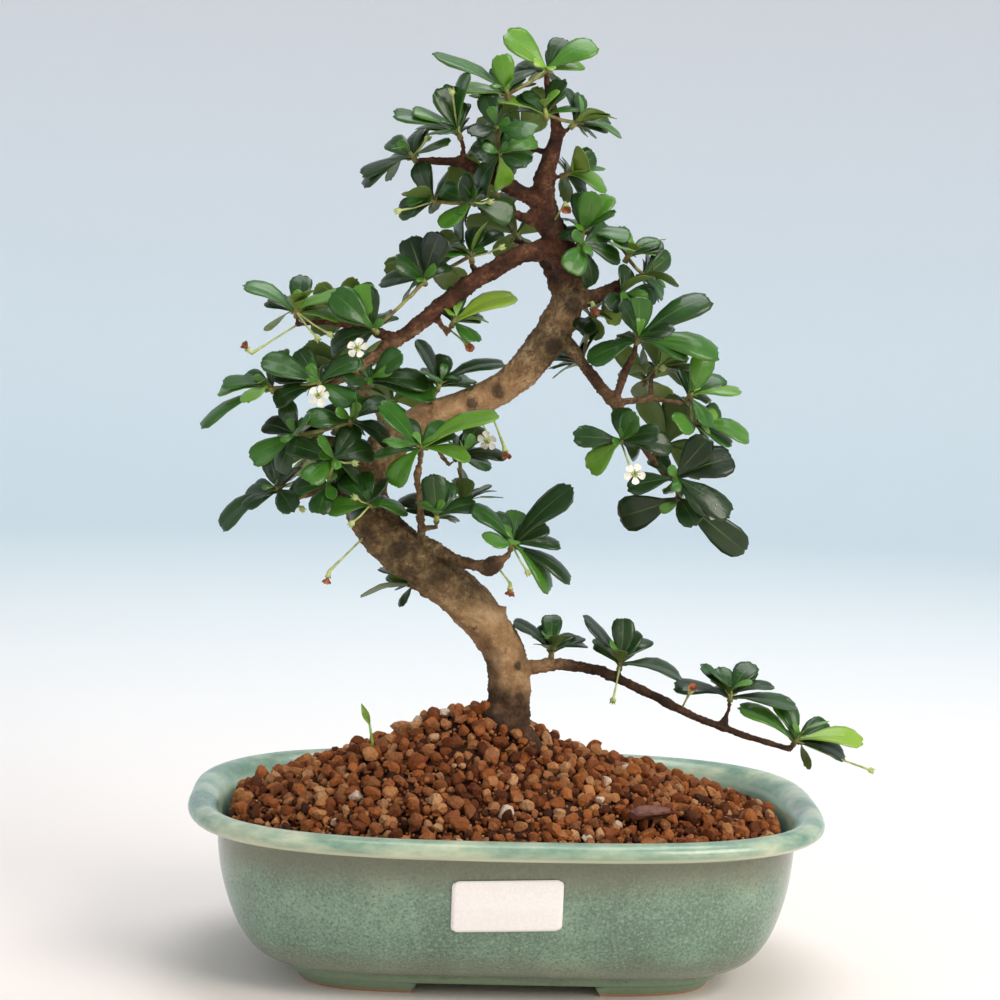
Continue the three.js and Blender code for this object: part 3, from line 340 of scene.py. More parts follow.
# The side on the glaze, and then the side that shows.
for lift in (0.35, 0.85):
    for row in range(ROWS + 1):
        v = -1 + 2 * row / ROWS
        # Rounded corners: a row is drawn in where it runs into a corner's arc.
        short = max(0.0, abs(v) * LABEL_TALL / 2 - (LABEL_TALL / 2 - CORNER))
        half = LABEL_WIDTH / 2 - (CORNER - math.sqrt(max(0.0, CORNER**2 - short**2)))
        for k in range(COLUMNS + 1):
            x = LABEL_X + (-1 + 2 * k / COLUMNS) * half
            z = LABEL_Z + v * LABEL_TALL / 2 + LABEL_SLOPE * (x - LABEL_X)
            label_points.append(on_wall(x, z, lift))
stride = COLUMNS + 1
layer = (ROWS + 1) * stride
for row in range(ROWS):
    for k in range(COLUMNS):
        a = row * stride + k
        b = a + stride
        label_faces.append((a + layer, a + layer + 1, b + layer + 1, b + layer))
        label_faces.append((a, b, b + 1, a + 1))
edge = list(range(stride)) + [row * stride + COLUMNS for row in range(1, ROWS + 1)]
edge += [ROWS * stride + k for k in range(COLUMNS - 1, -1, -1)]
edge += [row * stride for row in range(ROWS - 1, 0, -1)]
for a, b in zip(edge, edge[1:] + edge[:1]):
    label_faces.append((a, b, b + layer, a + layer))
label = make_piece("bare_label", label_points, label_faces, paper)
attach(label, "root")
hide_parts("label")

# Drainage meshes.
# A square of moulded black plastic mesh lies over each of the two drain holes, inside the pot under the
# soil. It keeps the granules from falling through.


def cad_copy(names):
    """The points and faces of CAD nodes together, in the row frame."""
    points, faces = [], []
    for name in names:
        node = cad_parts[name]
        start = len(points)
        points += [node.matrix_world @ v.co for v in node.data.vertices]
        faces += [tuple(start + i for i in polygon.vertices) for polygon in node.data.polygons]
    return points, faces


# Polythene: moulded, half matt, dusty in patches of about 3 mm.
plastic, tree, shader, spot = start_material("black_polythene", Roughness=0.5)
dust = add_node(tree, "ShaderNodeTexNoise", {"Vector": spot, "Scale": 300.0})
black = add_node(tree, "ShaderNodeValToRGB", {"Fac": dust}, stops=[(0.3, "#17181a"), (0.7, "#33302c")])
tree.links.new(black.outputs["Color"], shader.inputs["Base Color"])
for number in (1, 2):
    node_name = f"drainage_mesh_{number}"
    piece = make_piece(f"plastic_mesh_{number}", *cad_copy([node_name]), plastic, smooth=False)
    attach(piece, "root")
    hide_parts(node_name)

# Soil.
# Baked clay granules of 4 to 7 mm, russet, ochre and a few pinkish white, over a bed of finer crumbs. They
# are poured round the roots and heaped up to the trunk.
PEAK_X = -16.0
# The mound's height to the left and to the right of its peak, by share of the way to the edge.
SOIL_LEFT = [(0, 105), (0.17, 99), (0.31, 91), (0.49, 84), (0.66, 77), (0.81, 72), (0.94, 66), (1, 62)]
SOIL_RIGHT = [
    (0, 105), (0.13, 101.5), (0.28, 92), (0.42, 85.5), (0.64, 77.5), (0.86, 67.5), (0.95, 65), (1, 62),
]


def soil_height(x, y):
    """The height of the heaped soil, in millimetres."""
    left = x < PEAK_X
    away = math.hypot((x - PEAK_X) / (100 if left else 128), y / 79)
    slope = SOIL_LEFT if left else SOIL_RIGHT
    return float(np.interp(away, [mark[0] for mark in slope], [mark[1] for mark in slope]))


# Baked clay: quite matt, each grain in one shade, mottled and pitted at about 1 mm, coarser than real pits.
clay, tree, shader, spot = start_material("baked_clay", Roughness=0.92, IOR=1.35)
tone = add_node(tree, "ShaderNodeAttribute", attribute_name="tone").outputs["Fac"]
grain = add_node(
    tree, "ShaderNodeValToRGB", {"Fac": tone},
    stops=[
        (0.0, "#3f200f"), (0.12, "#663417"), (0.28, "#915027"), (0.44, "#b06a38"), (0.58, "#774020"),
        (0.70, "#c28654"), (0.82, "#8c4f2c"), (0.93, "#cf9f70"), (1.0, "#e0cab4"),
    ],
)
mottle = add_node(
    tree, "ShaderNodeTexNoise", {"Vector": spot, "Scale": 850.0, "Detail": 5.0, "Roughness": 0.7}
)
shade = add_node(
    tree, "ShaderNodeMapRange",
    {"Value": mottle, "From Min": 0.3, "From Max": 0.7, "To Min": 0.62, "To Max": 1.18},
)
grain_colour = add_node(
    tree, "ShaderNodeMix", {0: 1.0, 6: grain, 7: shade}, data_type="RGBA", blend_type="MULTIPLY"
)
tree.links.new(grain_colour.outputs[2], shader.inputs["Base Color"])
pits = add_node(
    tree, "ShaderNodeTexNoise", {"Vector": spot, "Scale": 900.0, "Detail": 4.0, "Roughness": 0.75}
)
bump = add_node(tree, "ShaderNodeBump", {"Height": pits, "Strength": 0.9, "Distance": 0.0009})
tree.links.new(bump.outputs["Normal"], shader.inputs["Normal"])

soil_points, soil_faces = cad_copy(["soil"])
soil_bed = make_piece("soil_bed", soil_points, soil_faces, clay, smooth=False)
bed_tone = soil_bed.data.attributes.new("tone", "FLOAT", "POINT")
bed_tone.data.foreach_set("value", [0.0] * len(soil_points))
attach(soil_bed, "root")
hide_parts("soil")


def pebble(name, seed, faces_level, material):
    """A crumbled clay granule about one unit across, its sides cut flat at random, to be copied."""
    shape = bmesh.new()
    bmesh.ops.create_icosphere(shape, subdivisions=faces_level, radius=0.5)
    draw = np.random.default_rng(seed)
    for _ in range(11):
        cut = Vector(draw.normal(size=3)).normalized()
        limit = 0.26 + 0.14 * draw.random()
        for v in shape.verts:
            over = v.co.dot(cut) - limit
            if over > 0:
                v.co -= cut * over * 0.95
    for v in shape.verts:
        v.co *= 1 + 0.16 * noise.noise(v.co * 4 + Vector((seed, 0, 0)))
    mesh = bpy.data.meshes.new(name)
    shape.to_mesh(mesh)
    shape.free()
    mesh.polygons.foreach_set("use_smooth", [False] * len(mesh.polygons))
    mesh.materials.append(material)
    return bpy.data.objects.new(name, mesh)


def scatter(name, sources, points, turns, sizes, variants, tones, material):
    """Copies the sources to the points with Geometry Nodes, as one plain mesh object with their tones."""
    cloud = bpy.data.meshes.new(name + "_points")
    cloud.from_pydata([tuple(p) for p in points], [], [])
    for key, kind, field, number, values in (
        ("turn", "QUATERNION", "value", np.float32, turns),
        ("size", "FLOAT_VECTOR", "vector", np.float32, sizes),
        ("variant", "INT", "value", np.int32, variants), ("tone", "FLOAT", "value", np.float32, tones),
    ):
        flat = np.asarray(values, dtype=number).ravel()
        cloud.attributes.new(key, kind, "POINT").data.foreach_set(field, flat)
    holder = bpy.data.objects.new(name + "_holder", cloud)
    bpy.context.scene.collection.objects.link(holder)
    box_of_sources = bpy.data.collections.new(name + "_sources")
    bpy.context.scene.collection.children.link(box_of_sources)
    for source in sources:
        box_of_sources.objects.link(source)
    group = bpy.data.node_groups.new(name + "_scatter", "GeometryNodeTree")
    group.interface.new_socket("Geometry", in_out="INPUT", socket_type="NodeSocketGeometry")
    picked = group.interface.new_socket("Sources", in_out="INPUT", socket_type="NodeSocketCollection")
    group.interface.new_socket("Geometry", in_out="OUTPUT", socket_type="NodeSocketGeometry")
    entry = add_node(group, "NodeGroupInput")
    to_points = add_node(group, "GeometryNodeMeshToPoints", {"Mesh": entry.outputs["Geometry"]})
    shapes = add_node(
        group, "GeometryNodeCollectionInfo",
        {"Collection": entry.outputs["Sources"], "Separate Children": True, "Reset Children": True},
    )
    turn = add_node(group, "GeometryNodeInputNamedAttribute", {"Name": "turn"}, data_type="QUATERNION")
    size = add_node(group, "GeometryNodeInputNamedAttribute", {"Name": "size"}, data_type="FLOAT_VECTOR")
    variant = add_node(group, "GeometryNodeInputNamedAttribute", {"Name": "variant"}, data_type="INT")
    copies = add_node(
        group, "GeometryNodeInstanceOnPoints",
        {
            "Points": to_points, "Instance": shapes, "Pick Instance": True,
            "Instance Index": variant, "Rotation": turn, "Scale": size,
        },
    )
    realized = add_node(group, "GeometryNodeRealizeInstances", {"Geometry": copies})
    finished = add_node(group, "GeometryNodeSetMaterial", {"Geometry": realized, "Material": material})
    add_node(group, "NodeGroupOutput", {"Geometry": finished})
    modifier = holder.modifiers.new("scatter", "NODES")
    modifier.node_group = group
    modifier[picked.identifier] = box_of_sources
    bpy.context.view_layer.update()
    graph = bpy.context.evaluated_depsgraph_get()
    mesh = bpy.data.meshes.new_from_object(
        holder.evaluated_get(graph), preserve_all_data_layers=True, depsgraph=graph
    )
    mesh.name = name
    holder.modifiers.remove(modifier)
    bpy.data.objects.remove(holder)
    for source in sources:
        bpy.data.objects.remove(source)
    bpy.data.collections.remove(box_of_sources)
    piece = bpy.data.objects.new(name, mesh)
    bpy.context.scene.collection.objects.link(piece)
    return piece


# Granules are thrown at the mound one by one, and those that find room stay: a coarse layer, some more on
# top of it, and then fine ones in what room is left. Each row gives the throws, the smallest and largest
# size, and how much of their size two grains keep between their middles.
draw = np.random.default_rng(20)
# Grains are compared with those in the cells round their own, this many millimetres wide.
CELL = 5.0
SOIL_REACH = 109.0
SOIL_DEPTH = SOIL_REACH - POT_INSET
THROW_DEPTH = 78
TRUNK_SPOT, TRUNK_ROOM = (-1, 0), 9
DEAD_LEAF_SPOT, DEAD_LEAF_ROOM = (54, -48), 12
power = squareness(SOIL_REACH)
bottom_taken, top_taken = {}, {}
coarse, piled, fine = [], [], []
for kind, taken, throws, low, high, room in (
    (coarse, bottom_taken, 16000, 3.8, 7.4, 0.74), (piled, top_taken, 2200, 3.6, 6.8, 1.05),
    (fine, bottom_taken, 16000, 1.3, 2.9, 0.6),
):
    for _ in range(throws):
        x, y = draw.uniform(-SOIL_REACH, SOIL_REACH), draw.uniform(-THROW_DEPTH, THROW_DEPTH)
        size = low + (high - low) * draw.random() ** 1.5
        edge = ((abs(x) / SOIL_REACH) ** power + (abs(y) / SOIL_DEPTH) ** power) ** (1 / power)
        if edge > 1 - size * 0.42 / THROW_DEPTH or math.dist((x, y), TRUNK_SPOT) < TRUNK_ROOM:
            continue
        if kind is piled and math.dist((x, y), DEAD_LEAF_SPOT) < DEAD_LEAF_ROOM:
            continue
        here = (int(x // CELL), int(y // CELL))
        cells = [(here[0] + i, here[1] + j) for i in (-1, 0, 1) for j in (-1, 0, 1)]
        near = [grain for cell in cells for grain in taken.get(cell, ())]
        if any(math.hypot(x - a, y - b) < room * (size + other) / 2 for a, b, other in near):
            continue
        taken.setdefault(here, []).append((x, y, size))
        kind.append((x, y, size))
# How finely each kind is faceted, how many shapes it has, and how high it lies, as a share of its size.
for name, grains, level, variants, lift in (
    ("coarse_granules", coarse, 2, 9, 0.10), ("piled_granules", piled, 2, 9, 0.42),
    ("fine_granules", fine, 1, 5, 0.25),
):
    sources = [pebble(f"{name}_{k:02d}", 31 * level + k, level, clay) for k in range(variants)]
    places, turns, sizes, kinds, tones = [], [], [], [], []
    for x, y, size in grains:
        places.append(at(x, y, soil_height(x, y) + size * (lift + 0.3 * draw.random())))
        spin = draw.normal(size=4)
        turns.append(spin / np.linalg.norm(spin))
        sizes.append(np.array((1.2, 1.0, 0.86)) * size * draw.uniform(0.88, 1.2, 3) / 1000)
        kinds.append(int(draw.integers(variants)))
        tones.append(draw.random() * (0.92 if draw.random() < 0.85 else 1.0))
    granules = scatter(name, sources, places, turns, sizes, kinds, tones, clay)
    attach(granules, "root")

# Wood.
# The living trunk, its limbs, surface roots and twigs, grown as one piece. Tan bark low down with dark
# knots, dark mossy bark in the bends, and a smooth pale stretch where the trunk runs back to the right.
# A copy of the solid gets even faces of 0.75 mm, softened, that carry the bark's relief.
wood_points, wood_faces = cad_copy(["wood"])
rough = make_piece("rough_wood", wood_points, wood_faces, clay)
remesh = rough.modifiers.new("even", "REMESH")
remesh.mode = "VOXEL"
remesh.voxel_size = 0.00075
evening = rough.modifiers.new("soften", "SMOOTH")
evening.factor = 0.6
evening.iterations = 9
bpy.context.view_layer.update()
graph = bpy.context.evaluated_depsgraph_get()
wood_mesh = bpy.data.meshes.new_from_object(rough.evaluated_get(graph), depsgraph=graph)
bpy.data.objects.remove(rough)
wood_mesh.name = "bonsai_wood"
# Knots and burrs that show in the photo: place, reach and how far they stand out, in millimetres.
KNOTS = [
    ((-4.5, -5, 146), 2.6, 2.4), ((-17, -10, 147), 2.8, 1.4), ((-8, -10, 135), 2.6, 1.5),
    ((3, -9, 125), 2.8, 1.6), ((-14, -10, 140), 2.4, 1.1), ((-3, -9, 131), 2.0, 1.0),
    ((4, -8, 112), 3, 1.2), ((-10, -8, 107), 6, 4.5), ((-5, -11, 103), 5, 2.4),
    ((-30, -13, 160), 5, 1.5), ((-45, -14, 170), 5, 1.6), ((-57, -13, 176), 5, 1.3),
    ((-62, -12, 186), 5, 1.4), ((-18, -3, 227), 4, 1.4), ((-8, -3, 232), 4, 1.2),
    ((13, -5, 250), 5, 1.5), ((20, -5, 266), 5, 1.5), ((18, -5, 280), 4, 1.3), ((-9, -19, 165), 5, 2.2),
    ((-4, -19, 160), 5, 2.0), ((10, -4, 297), 4, 1.2), ((38, -6, 121), 3, 0.9), ((62, -7, 111), 3, 0.9),
    ((85, -7, 104), 3, 0.8),
]
count = len(wood_mesh.vertices)
flat = np.empty(count * 3, dtype=np.float32)
wood_mesh.vertices.foreach_get("co", flat)
spots = (flat.reshape(-1, 3).astype(float) - np.array(POT_MIDDLE)) * 1000
wood_mesh.vertices.foreach_get("normal", flat)
outward = flat.reshape(-1, 3).astype(float)
# How far the bark stands out, in millimetres: broad ridges and a finer crust, half as high on thin limbs
# and low on the smooth stretch, and then the knots.
relief, crust = np.zeros(count), np.zeros(count)
for i, (x, y, z) in enumerate(spots):
    here = Vector((x, y, z))
    ridge = noise.fractal(here * 0.15, 0.9, 2.1, 4)
    crust[i] = abs(noise.fractal(here * 0.42 + Vector((9, 2, 4)), 0.75, 2.0, 4))
    relief[i] = 0.6 * ridge + 0.85 * crust[i] - 0.2
girth = np.ones(count)
girth[(spots[:, 0] < -65) | (spots[:, 0] > 38) | (spots[:, 2] > 318)] = 0.5
smooth_part = np.exp(-(((spots[:, 0] + 22) / 24) ** 2) - ((spots[:, 2] - 226) / 10) ** 2)
relief *= girth * (1 - 0.8 * smooth_part)
for place, reach, height in KNOTS:
    away = np.linalg.norm(spots - np.array(place), axis=1)
    relief += height * np.exp(-((away / reach) ** 2) * 1.6)
spots += outward * relief[:, None]
# No root reaches lower than this, which is inside the mound.
spots[:, 2] = np.maximum(spots[:, 2], 84)
wood_mesh.vertices.foreach_set("co", (spots / 1000 + np.array(POT_MIDDLE)).astype(np.float32).ravel())
side, deep, up = spots.T
# The mossy places as seen from the front, and how far the moss spreads.
MOSSY = [
    ((-40, 172), 30), ((-58, 190), 16), ((-18, 152), 10), ((14, 250), 15), ((18, 275), 17), ((8, 296), 12),
    ((-70, 192), 14), ((-66, 210), 14), ((-9, 122), 5), ((-8, 112), 6),
]


def fade(values):
    """The values, held between none and full."""
    return np.clip(values, 0, 1)


# How mossy, tan, ruddy, knotty and cracked the bark is at each point, and how much painted shade it takes,
# from 0 to 1.
moss, knotty = np.zeros(count), np.zeros(count)
for (moss_x, moss_z), reach in MOSSY:
    moss = np.maximum(moss, np.exp(-((np.hypot(side - moss_x, up - moss_z) / reach) ** 2)))
for place, reach, _ in KNOTS:
    away = np.linalg.norm(spots - np.array(place), axis=1)
    knotty = np.maximum(knotty, np.exp(-((away / reach) ** 2) * 1.2))
# Tan: the smooth pale stretch, and the lower trunk above its dark base.
smooth_low = fade((154 - up) / 10) * fade((14 - side) / 6)
tan = np.exp(-(((side + 22) / 26) ** 2) - ((up - 226) / 11) ** 2)
tan = np.maximum(tan, 0.75 * smooth_low * fade((up - 115) / 7))
# Ruddy: the upper limbs, the right one, the small front branch and the trunk's foot.
ruddy = fade((up - 0.42 * side - 262) / 12)
ruddy = np.where(side > 26, fade((up - 225) / 20) * 0.8, ruddy)
ruddy = np.maximum(ruddy, 0.35 * ((np.abs(side + 12) < 16) & (deep < -14) & (up < 200)))
ruddy = np.maximum(ruddy, 0.55 * fade((115 - up) / 8))
# Painted shade: the bark is painted darker where shade falls, on the thin lowest branch, the trunk's base
# and its left side, and the right limb.
painted_shade = np.where((side > 14) & (up < 140), fade((side - 14) / 12), 0)
painted_shade = np.maximum(painted_shade, 0.85 * fade((118 - 0.4 * side - up) / 8))
painted_shade = np.maximum(painted_shade, np.where(side > 24, fade((up - 180) / 10) * 0.6, 0))
# The trunk's left side is turned away from the light on the right, and is painted dark as shade.
painted_shade = np.maximum(painted_shade, 0.7 * (fade((-3 - side) / 5) * fade((134 - up) / 8)))
cracked = fade(1.15 - 2.6 * crust) * (1 - 0.8 * smooth_part) * (1 - 0.7 * smooth_low)
marks = {"moss": moss, "tan": tan, "ruddy": ruddy, "painted_shade": painted_shade, "knotty": knotty, "cracked": cracked}
for key, values in marks.items():
    wood_mesh.attributes.new(key, "FLOAT", "POINT").data.foreach_set("value", values.astype(np.float32))

# Bark: dry and rough, grey-brown in plates of about 10 mm, with moss and cracks of 3 to 4 mm.
bark, tree, shader, spot = start_material("tree_bark", Roughness=0.82, IOR=1.4)
plates = add_node(
    tree, "ShaderNodeTexNoise", {"Vector": spot, "Scale": 95.0, "Detail": 7.0, "Roughness": 0.74}
)
patches = add_node(
    tree, "ShaderNodeTexNoise", {"Vector": spot, "Scale": 260.0, "Detail": 4.0, "Roughness": 0.65}
)
amount = {
    key: add_node(tree, "ShaderNodeAttribute", attribute_name=key).outputs["Fac"] for key in marks
}
moss_share = add_node(tree, "ShaderNodeMath", {0: amount["moss"], 1: 0.85}, operation="MULTIPLY")
bark_colour = add_node(
    tree, "ShaderNodeValToRGB", {"Fac": plates},
    stops=[(0.30, "#5c432c"), (0.42, "#967450"), (0.54, "#bd9970"), (0.68, "#dbbd95")],
)
# Each tint lies over those before it: how much there is of it, the noise that breaks it up, and its shades.
for share, pattern, stops in (
    (moss_share, patches, [(0.34, "#1c170e"), (0.46, "#40371f"), (0.56, "#6a5c3a"), (0.70, "#a28c68")]),
    (amount["tan"], plates, [(0.32, "#7d5e3e"), (0.46, "#ad8860"), (0.60, "#cba77c"), (0.75, "#dec19a")]),
    (amount["ruddy"], plates, [(0.34, "#22130c"), (0.45, "#47291b"), (0.56, "#714833"), (0.70, "#a07657")]),
    # Painted shade: dark bark tints where shade falls.
    (amount["painted_shade"], plates, [(0.32, "#1d110a"), (0.48, "#3f2819"), (0.62, "#62452f"), (0.75, "#8a6a4b")]),
):
    tint = add_node(tree, "ShaderNodeValToRGB", {"Fac": pattern}, stops=stops)
    bark_colour = add_node(tree, "ShaderNodeMix", {0: share, 6: bark_colour, 7: tint}, data_type="RGBA")
# The knots and cracks are near black, with ragged edges.
for key, pattern, low, high, most, tint in (
    ("knotty", patches, 0.2, 0.36, 0.8, "#33261b"), ("cracked", plates, 0.22, 0.62, 0.7, "#2b1d13"),
):
    ragged = add_node(tree, "ShaderNodeMath", {0: amount[key], 1: pattern}, operation="MULTIPLY")
    share = add_node(
        tree, "ShaderNodeMapRange", {"Value": ragged, "From Min": low, "From Max": high, "To Max": most}
    )
    bark_colour = add_node(
        tree, "ShaderNodeMix", {0: share, 6: bark_colour, 7: paint(tint)}, data_type="RGBA"
    )
tree.links.new(bark_colour.outputs[2], shader.inputs["Base Color"])
crack = add_node(
    tree, "ShaderNodeTexNoise", {"Vector": spot, "Scale": 330.0, "Detail": 6.0, "Roughness": 0.72}
)
bump = add_node(tree, "ShaderNodeBump", {"Height": crack, "Strength": 1.0, "Distance": 0.0022})
tree.links.new(bump.outputs["Normal"], shader.inputs["Normal"])
wood_mesh.materials.clear()
wood_mesh.materials.append(bark)
wood_mesh.polygons.foreach_set("use_smooth", [True] * len(wood_mesh.polygons))
wood = bpy.data.objects.new("bonsai_wood", wood_mesh)
bpy.context.scene.collection.objects.link(wood)
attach(wood, "root")
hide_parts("wood")

# Leaves and young stems.
# Small wedge-shaped leaves with a rounded, notched tip: glossy dark green on top when old, yellow-green
# when young, paler and matt underneath. They stand in tufts on thin green-brown stems.
# Each shoot's name, foot, the way it looks, its leaves' reach as seen from the front [across, up], and how
# many more leaves stand round it.
SHOOTS = [
    ["crown_tip", [7, 1, 355], [0, -1, 0.6], [[-17, 15], [18, 12]], 2],
    ["crown_left_top", [-8, -6, 345], [-0.3, -0.6, 1], [[-21, 10], [-30, 13], [-3, 15], [7, 11]], 1],
    ["crown_arch", [7, -4, 338], [-0.2, -0.5, 1], [[-26, 18], [9, 5]], 1],
    ["crown_front", [-12, -12, 332], [-0.2, -1, 0.5], [[-10, -2], [-2, 10], [14, -1]], 2],
    ["crown_low_front", [-11, -15, 322], [0, -1, 0.3], [[-11, -1], [2, -10], [11, -4], [12, 6]], 1],
    ["crown_left", [-26, -8, 329], [-0.4, -0.4, 1],
     [[-26, 9], [-18, 9], [-8, 19], [12, 21], [-10, 1]], 1],
    ["crown_left_tip", [-43, -6, 320], [-0.6, -0.5, 0.8], [[-21, -6], [-20, -11], [14, 5], [-6, -6]], 1],
    ["crown_left_under", [-34, -10, 304], [-0.7, -0.6, 0.3], [[-11, 3], [-4, 12], [4, 10], [8, -2]], 1],
    ["crown_low_left", [-20, -12, 304], [-0.5, -0.8, 0.2], [[-12, -10], [6, -5], [-6, 8]], 2],
    ["crown_right", [17, -1, 335], [0.7, -0.4, 0.6], [[12, 5], [18, -4], [15, 3]], 1],
    ["crown_right_mid", [14, -4, 316], [0.8, -0.6, 0.3], [[15, 3], [13, -3], [7, 8]], 1],
    ["shoulder_right", [22, -8, 293], [0.2, -0.8, 0.8],
     [[4, 17], [-8, 3], [19, -1], [10, 14], [12, 7]], 0],
    ["shoulder_front", [21, -14, 289], [0.3, -1, 0.2], [[9, -14], [14, -4], [-5, -10]], 1],
    ["upper_branch_top", [-20, -4, 282], [-0.2, -0.6, 1],
     [[-9, 5], [11, 9], [6, 14], [-10, -3], [-12, 2]], 0],
    ["upper_branch_mid", [-38, -12, 273], [-0.2, -1, 0.5], [[-11, 9], [-6, 16], [8, 19], [-15, -1]], 1],
    ["left_high_tip", [-87, -10, 259], [-0.1, -0.6, 1],
     [[-20, 12], [-8, -6], [3, 10], [21, 7], [20, -5], [10, 4]], 0],
    ["left_high_front", [-56, -16, 254], [-0.5, -1, 0.4], [[-7, 18], [-11, 3], [-3, 17], [-16, 14]], 1],
    ["upper_branch_right", [-27, -6, 257], [0.3, -0.5, 0.8], [[22, 17], [10, 1], [5, -14], [-5, 9]], 1],
    ["left_mid_front", [-77, -20, 233], [-0.2, -0.9, 0.6],
     [[-23, 9], [-16, 2], [-18, -7], [11, 6], [13, -7], [16, 10]], 0],
    ["left_mid_tip", [-95, -16, 230], [-0.5, -0.4, 0.8], [[-29, -13], [-18, 1], [-8, -4]], 1],
    ["left_mid_inner", [-58, -14, 234], [0.1, -0.9, 0.6],
     [[26, -5], [23, 0], [12, 12], [-9, -7], [-7, 4]], 0],
    ["left_mid_back", [-32, -6, 232], [0.3, -0.4, 0.8], [[-9, 19], [25, 10], [-7, -1]], 1],
    ["twig_top", [-38, -34, 209], [0, -0.6, 1],
     [[-17, 18], [29, 16], [-13, 3], [-17, -3], [-11, -14], [9, 10], [19, -3]], 0],
    ["left_low_front", [-65, -26, 219], [0, -0.9, 0.5], [[-16, 3], [15, -7], [-5, 9], [13, 8]], 1],
    ["left_low_mid", [-84, -22, 213], [-0.4, -0.9, 0.4],
     [[-19, -9], [-11, 3], [3, 7], [-7, -15], [15, -11]], 0],
    ["left_low_inner", [-71, -30, 205], [0, -1, 0.3], [[-9, -6], [6, -6], [-5, 8], [13, 3]], 1],
    ["left_low_tip", [-91, -14, 191], [-0.5, -0.7, 0.6], [[-14, -5], [-23, -15], [6, -6], [3, 6]], 0],
    ["left_low_under", [-73, -20, 194], [0, -0.9, 0.4], [[17, 2], [-11, -5], [-3, -9], [8, 8]], 0],
    ["bend_front", [-56, -26, 188], [-0.2, -1, 0.4], [[-18, -2], [-7, 4], [8, 7], [11, -2]], 0],
    ["bend_right", [-24, -4, 205], [0.5, -0.4, 0.6], [[12, -4], [6, 9], [17, 5]], 1],
    ["right_high_tip", [40, 0, 284], [0.4, -0.4, 1], [[14, 9], [13, 0], [-4, 7]], 1],
    ["right_stub_tip", [45, -2, 278], [1, -0.5, 0.3], [[13, -1], [3, -9]], 1],
    ["right_stub_front", [37, -9, 270], [0.6, -0.7, 0.4], [[12, 2], [7, -2], [-8, -7], [-4, -8]], 0],
    ["right_inner", [27, 6, 260], [0.2, 0.3, 0.5], [[-9, -3], [1, -6], [6, 9]], 1],
    ["right_top", [44, -16, 253], [0.1, -0.9, 0.6],
     [[0, 18], [27, 19], [-9, 14], [-19, -9], [12, 4], [20, -7], [33, -2], [3, -9]], 0],
    ["right_far_tip", [65, -8, 231], [0.6, -0.5, 0.8], [[7, 18], [20, 3], [7, -10], [12, 7]], 1],
    ["right_low_left", [39, -22, 215], [-0.1, -1, 0.2],
     [[-19, 1], [-10, -11], [4, 11], [20, -1], [13, 5], [4, -13]], 0],
    ["right_low_tip", [60, -18, 201], [0.1, -1, 0.2],
     [[-18, -4], [13, 16], [23, 9], [21, -16], [13, -15]], 0],
    ["right_low_under", [63, -10, 193], [0, -0.6, -0.2], [[-25, -10], [28, -21], [5, -8]], 0],
    ["right_low_far", [67, -8, 221], [0.6, -0.6, 0.4], [[16, -7], [22, -5], [-8, 1]], 1],
    ["right_mid_back", [53, 0, 241], [0.3, 0.5, 0.5], [[-12, -4], [14, -5]], 2],
    ["trunk_back_leaf", [26, 10, 242], [-0.5, 0.2, 0.6], [[-9, -2], [-6, 4]], 1],
    ["branch_base_shoot", [-31, -18, 182], [0, -0.8, 0.8], [[-2, 18], [14, 4], [-5, 6]], 1],
    ["small_branch_tip", [-2, -18, 172], [0.2, -0.6, 0.8],
     [[24, 24], [19, 2], [-18, 12], [2, 9], [17, -17], [25, -11], [-10, 3]], 0],
    ["small_branch_back", [-21, 2, 185], [0.3, 0.3, 0.9], [[0, 13], [15, 1], [-9, 4]], 1],
    ["trunk_back_shoot", [-38, 13, 152], [-0.7, 0.3, 0.5], [[-22, -4], [-13, 6], [-4, -5]], 0],
    ["low_branch_1", [16, -3, 128], [0.05, -0.3, 1], [[-15, 14], [0, 11], [-5, 5], [12, 1], [5, 10]], 0],
    ["low_branch_2", [43, -4, 124], [0.1, -0.4, 1], [[-16, 20], [1, 18], [-4, 9], [9, 7], [25, -3]], 0],
    ["low_branch_3", [87, -6, 113], [0, -0.4, 1],
     [[-8, 12], [8, 10], [-23, 3], [-13, 11], [27, -4], [17, 5]], 0],
    ["low_branch_tip", [113, -6, 96], [0.3, -0.5, 0.7],
     [[-22, 15], [-6, 16], [10, 11], [27, 1], [21, -4], [5, -9]], 0],
    ["back_crown", [-2, 14, 330], [0, 0.9, 0.7], [], 5],
    ["back_crown_low", [-10, 16, 308], [-0.4, 0.9, 0.3], [], 5],
    ["back_shoulder", [-2, 22, 292], [0.1, 0.9, 0.5], [], 5],
    ["back_upper", [-34, 8, 276], [-0.2, 0.9, 0.5], [], 5],
    ["back_left_high", [-70, 6, 258], [-0.3, 0.8, 0.7], [], 5],
    ["back_left", [-66, 23, 233], [-0.4, 0.8, 0.5], [], 5],
    ["back_left_mid", [-50, 24, 224], [0.4, 0.9, 0.5], [], 5],
    ["back_left_low", [-80, 8, 204], [-0.5, 0.8, 0.3], [], 5],
    ["back_right", [50, 12, 236], [0.3, 0.9, 0.4], [], 5],
    ["back_right_low", [58, 4, 212], [0.5, 0.8, 0.2], [], 5],
]
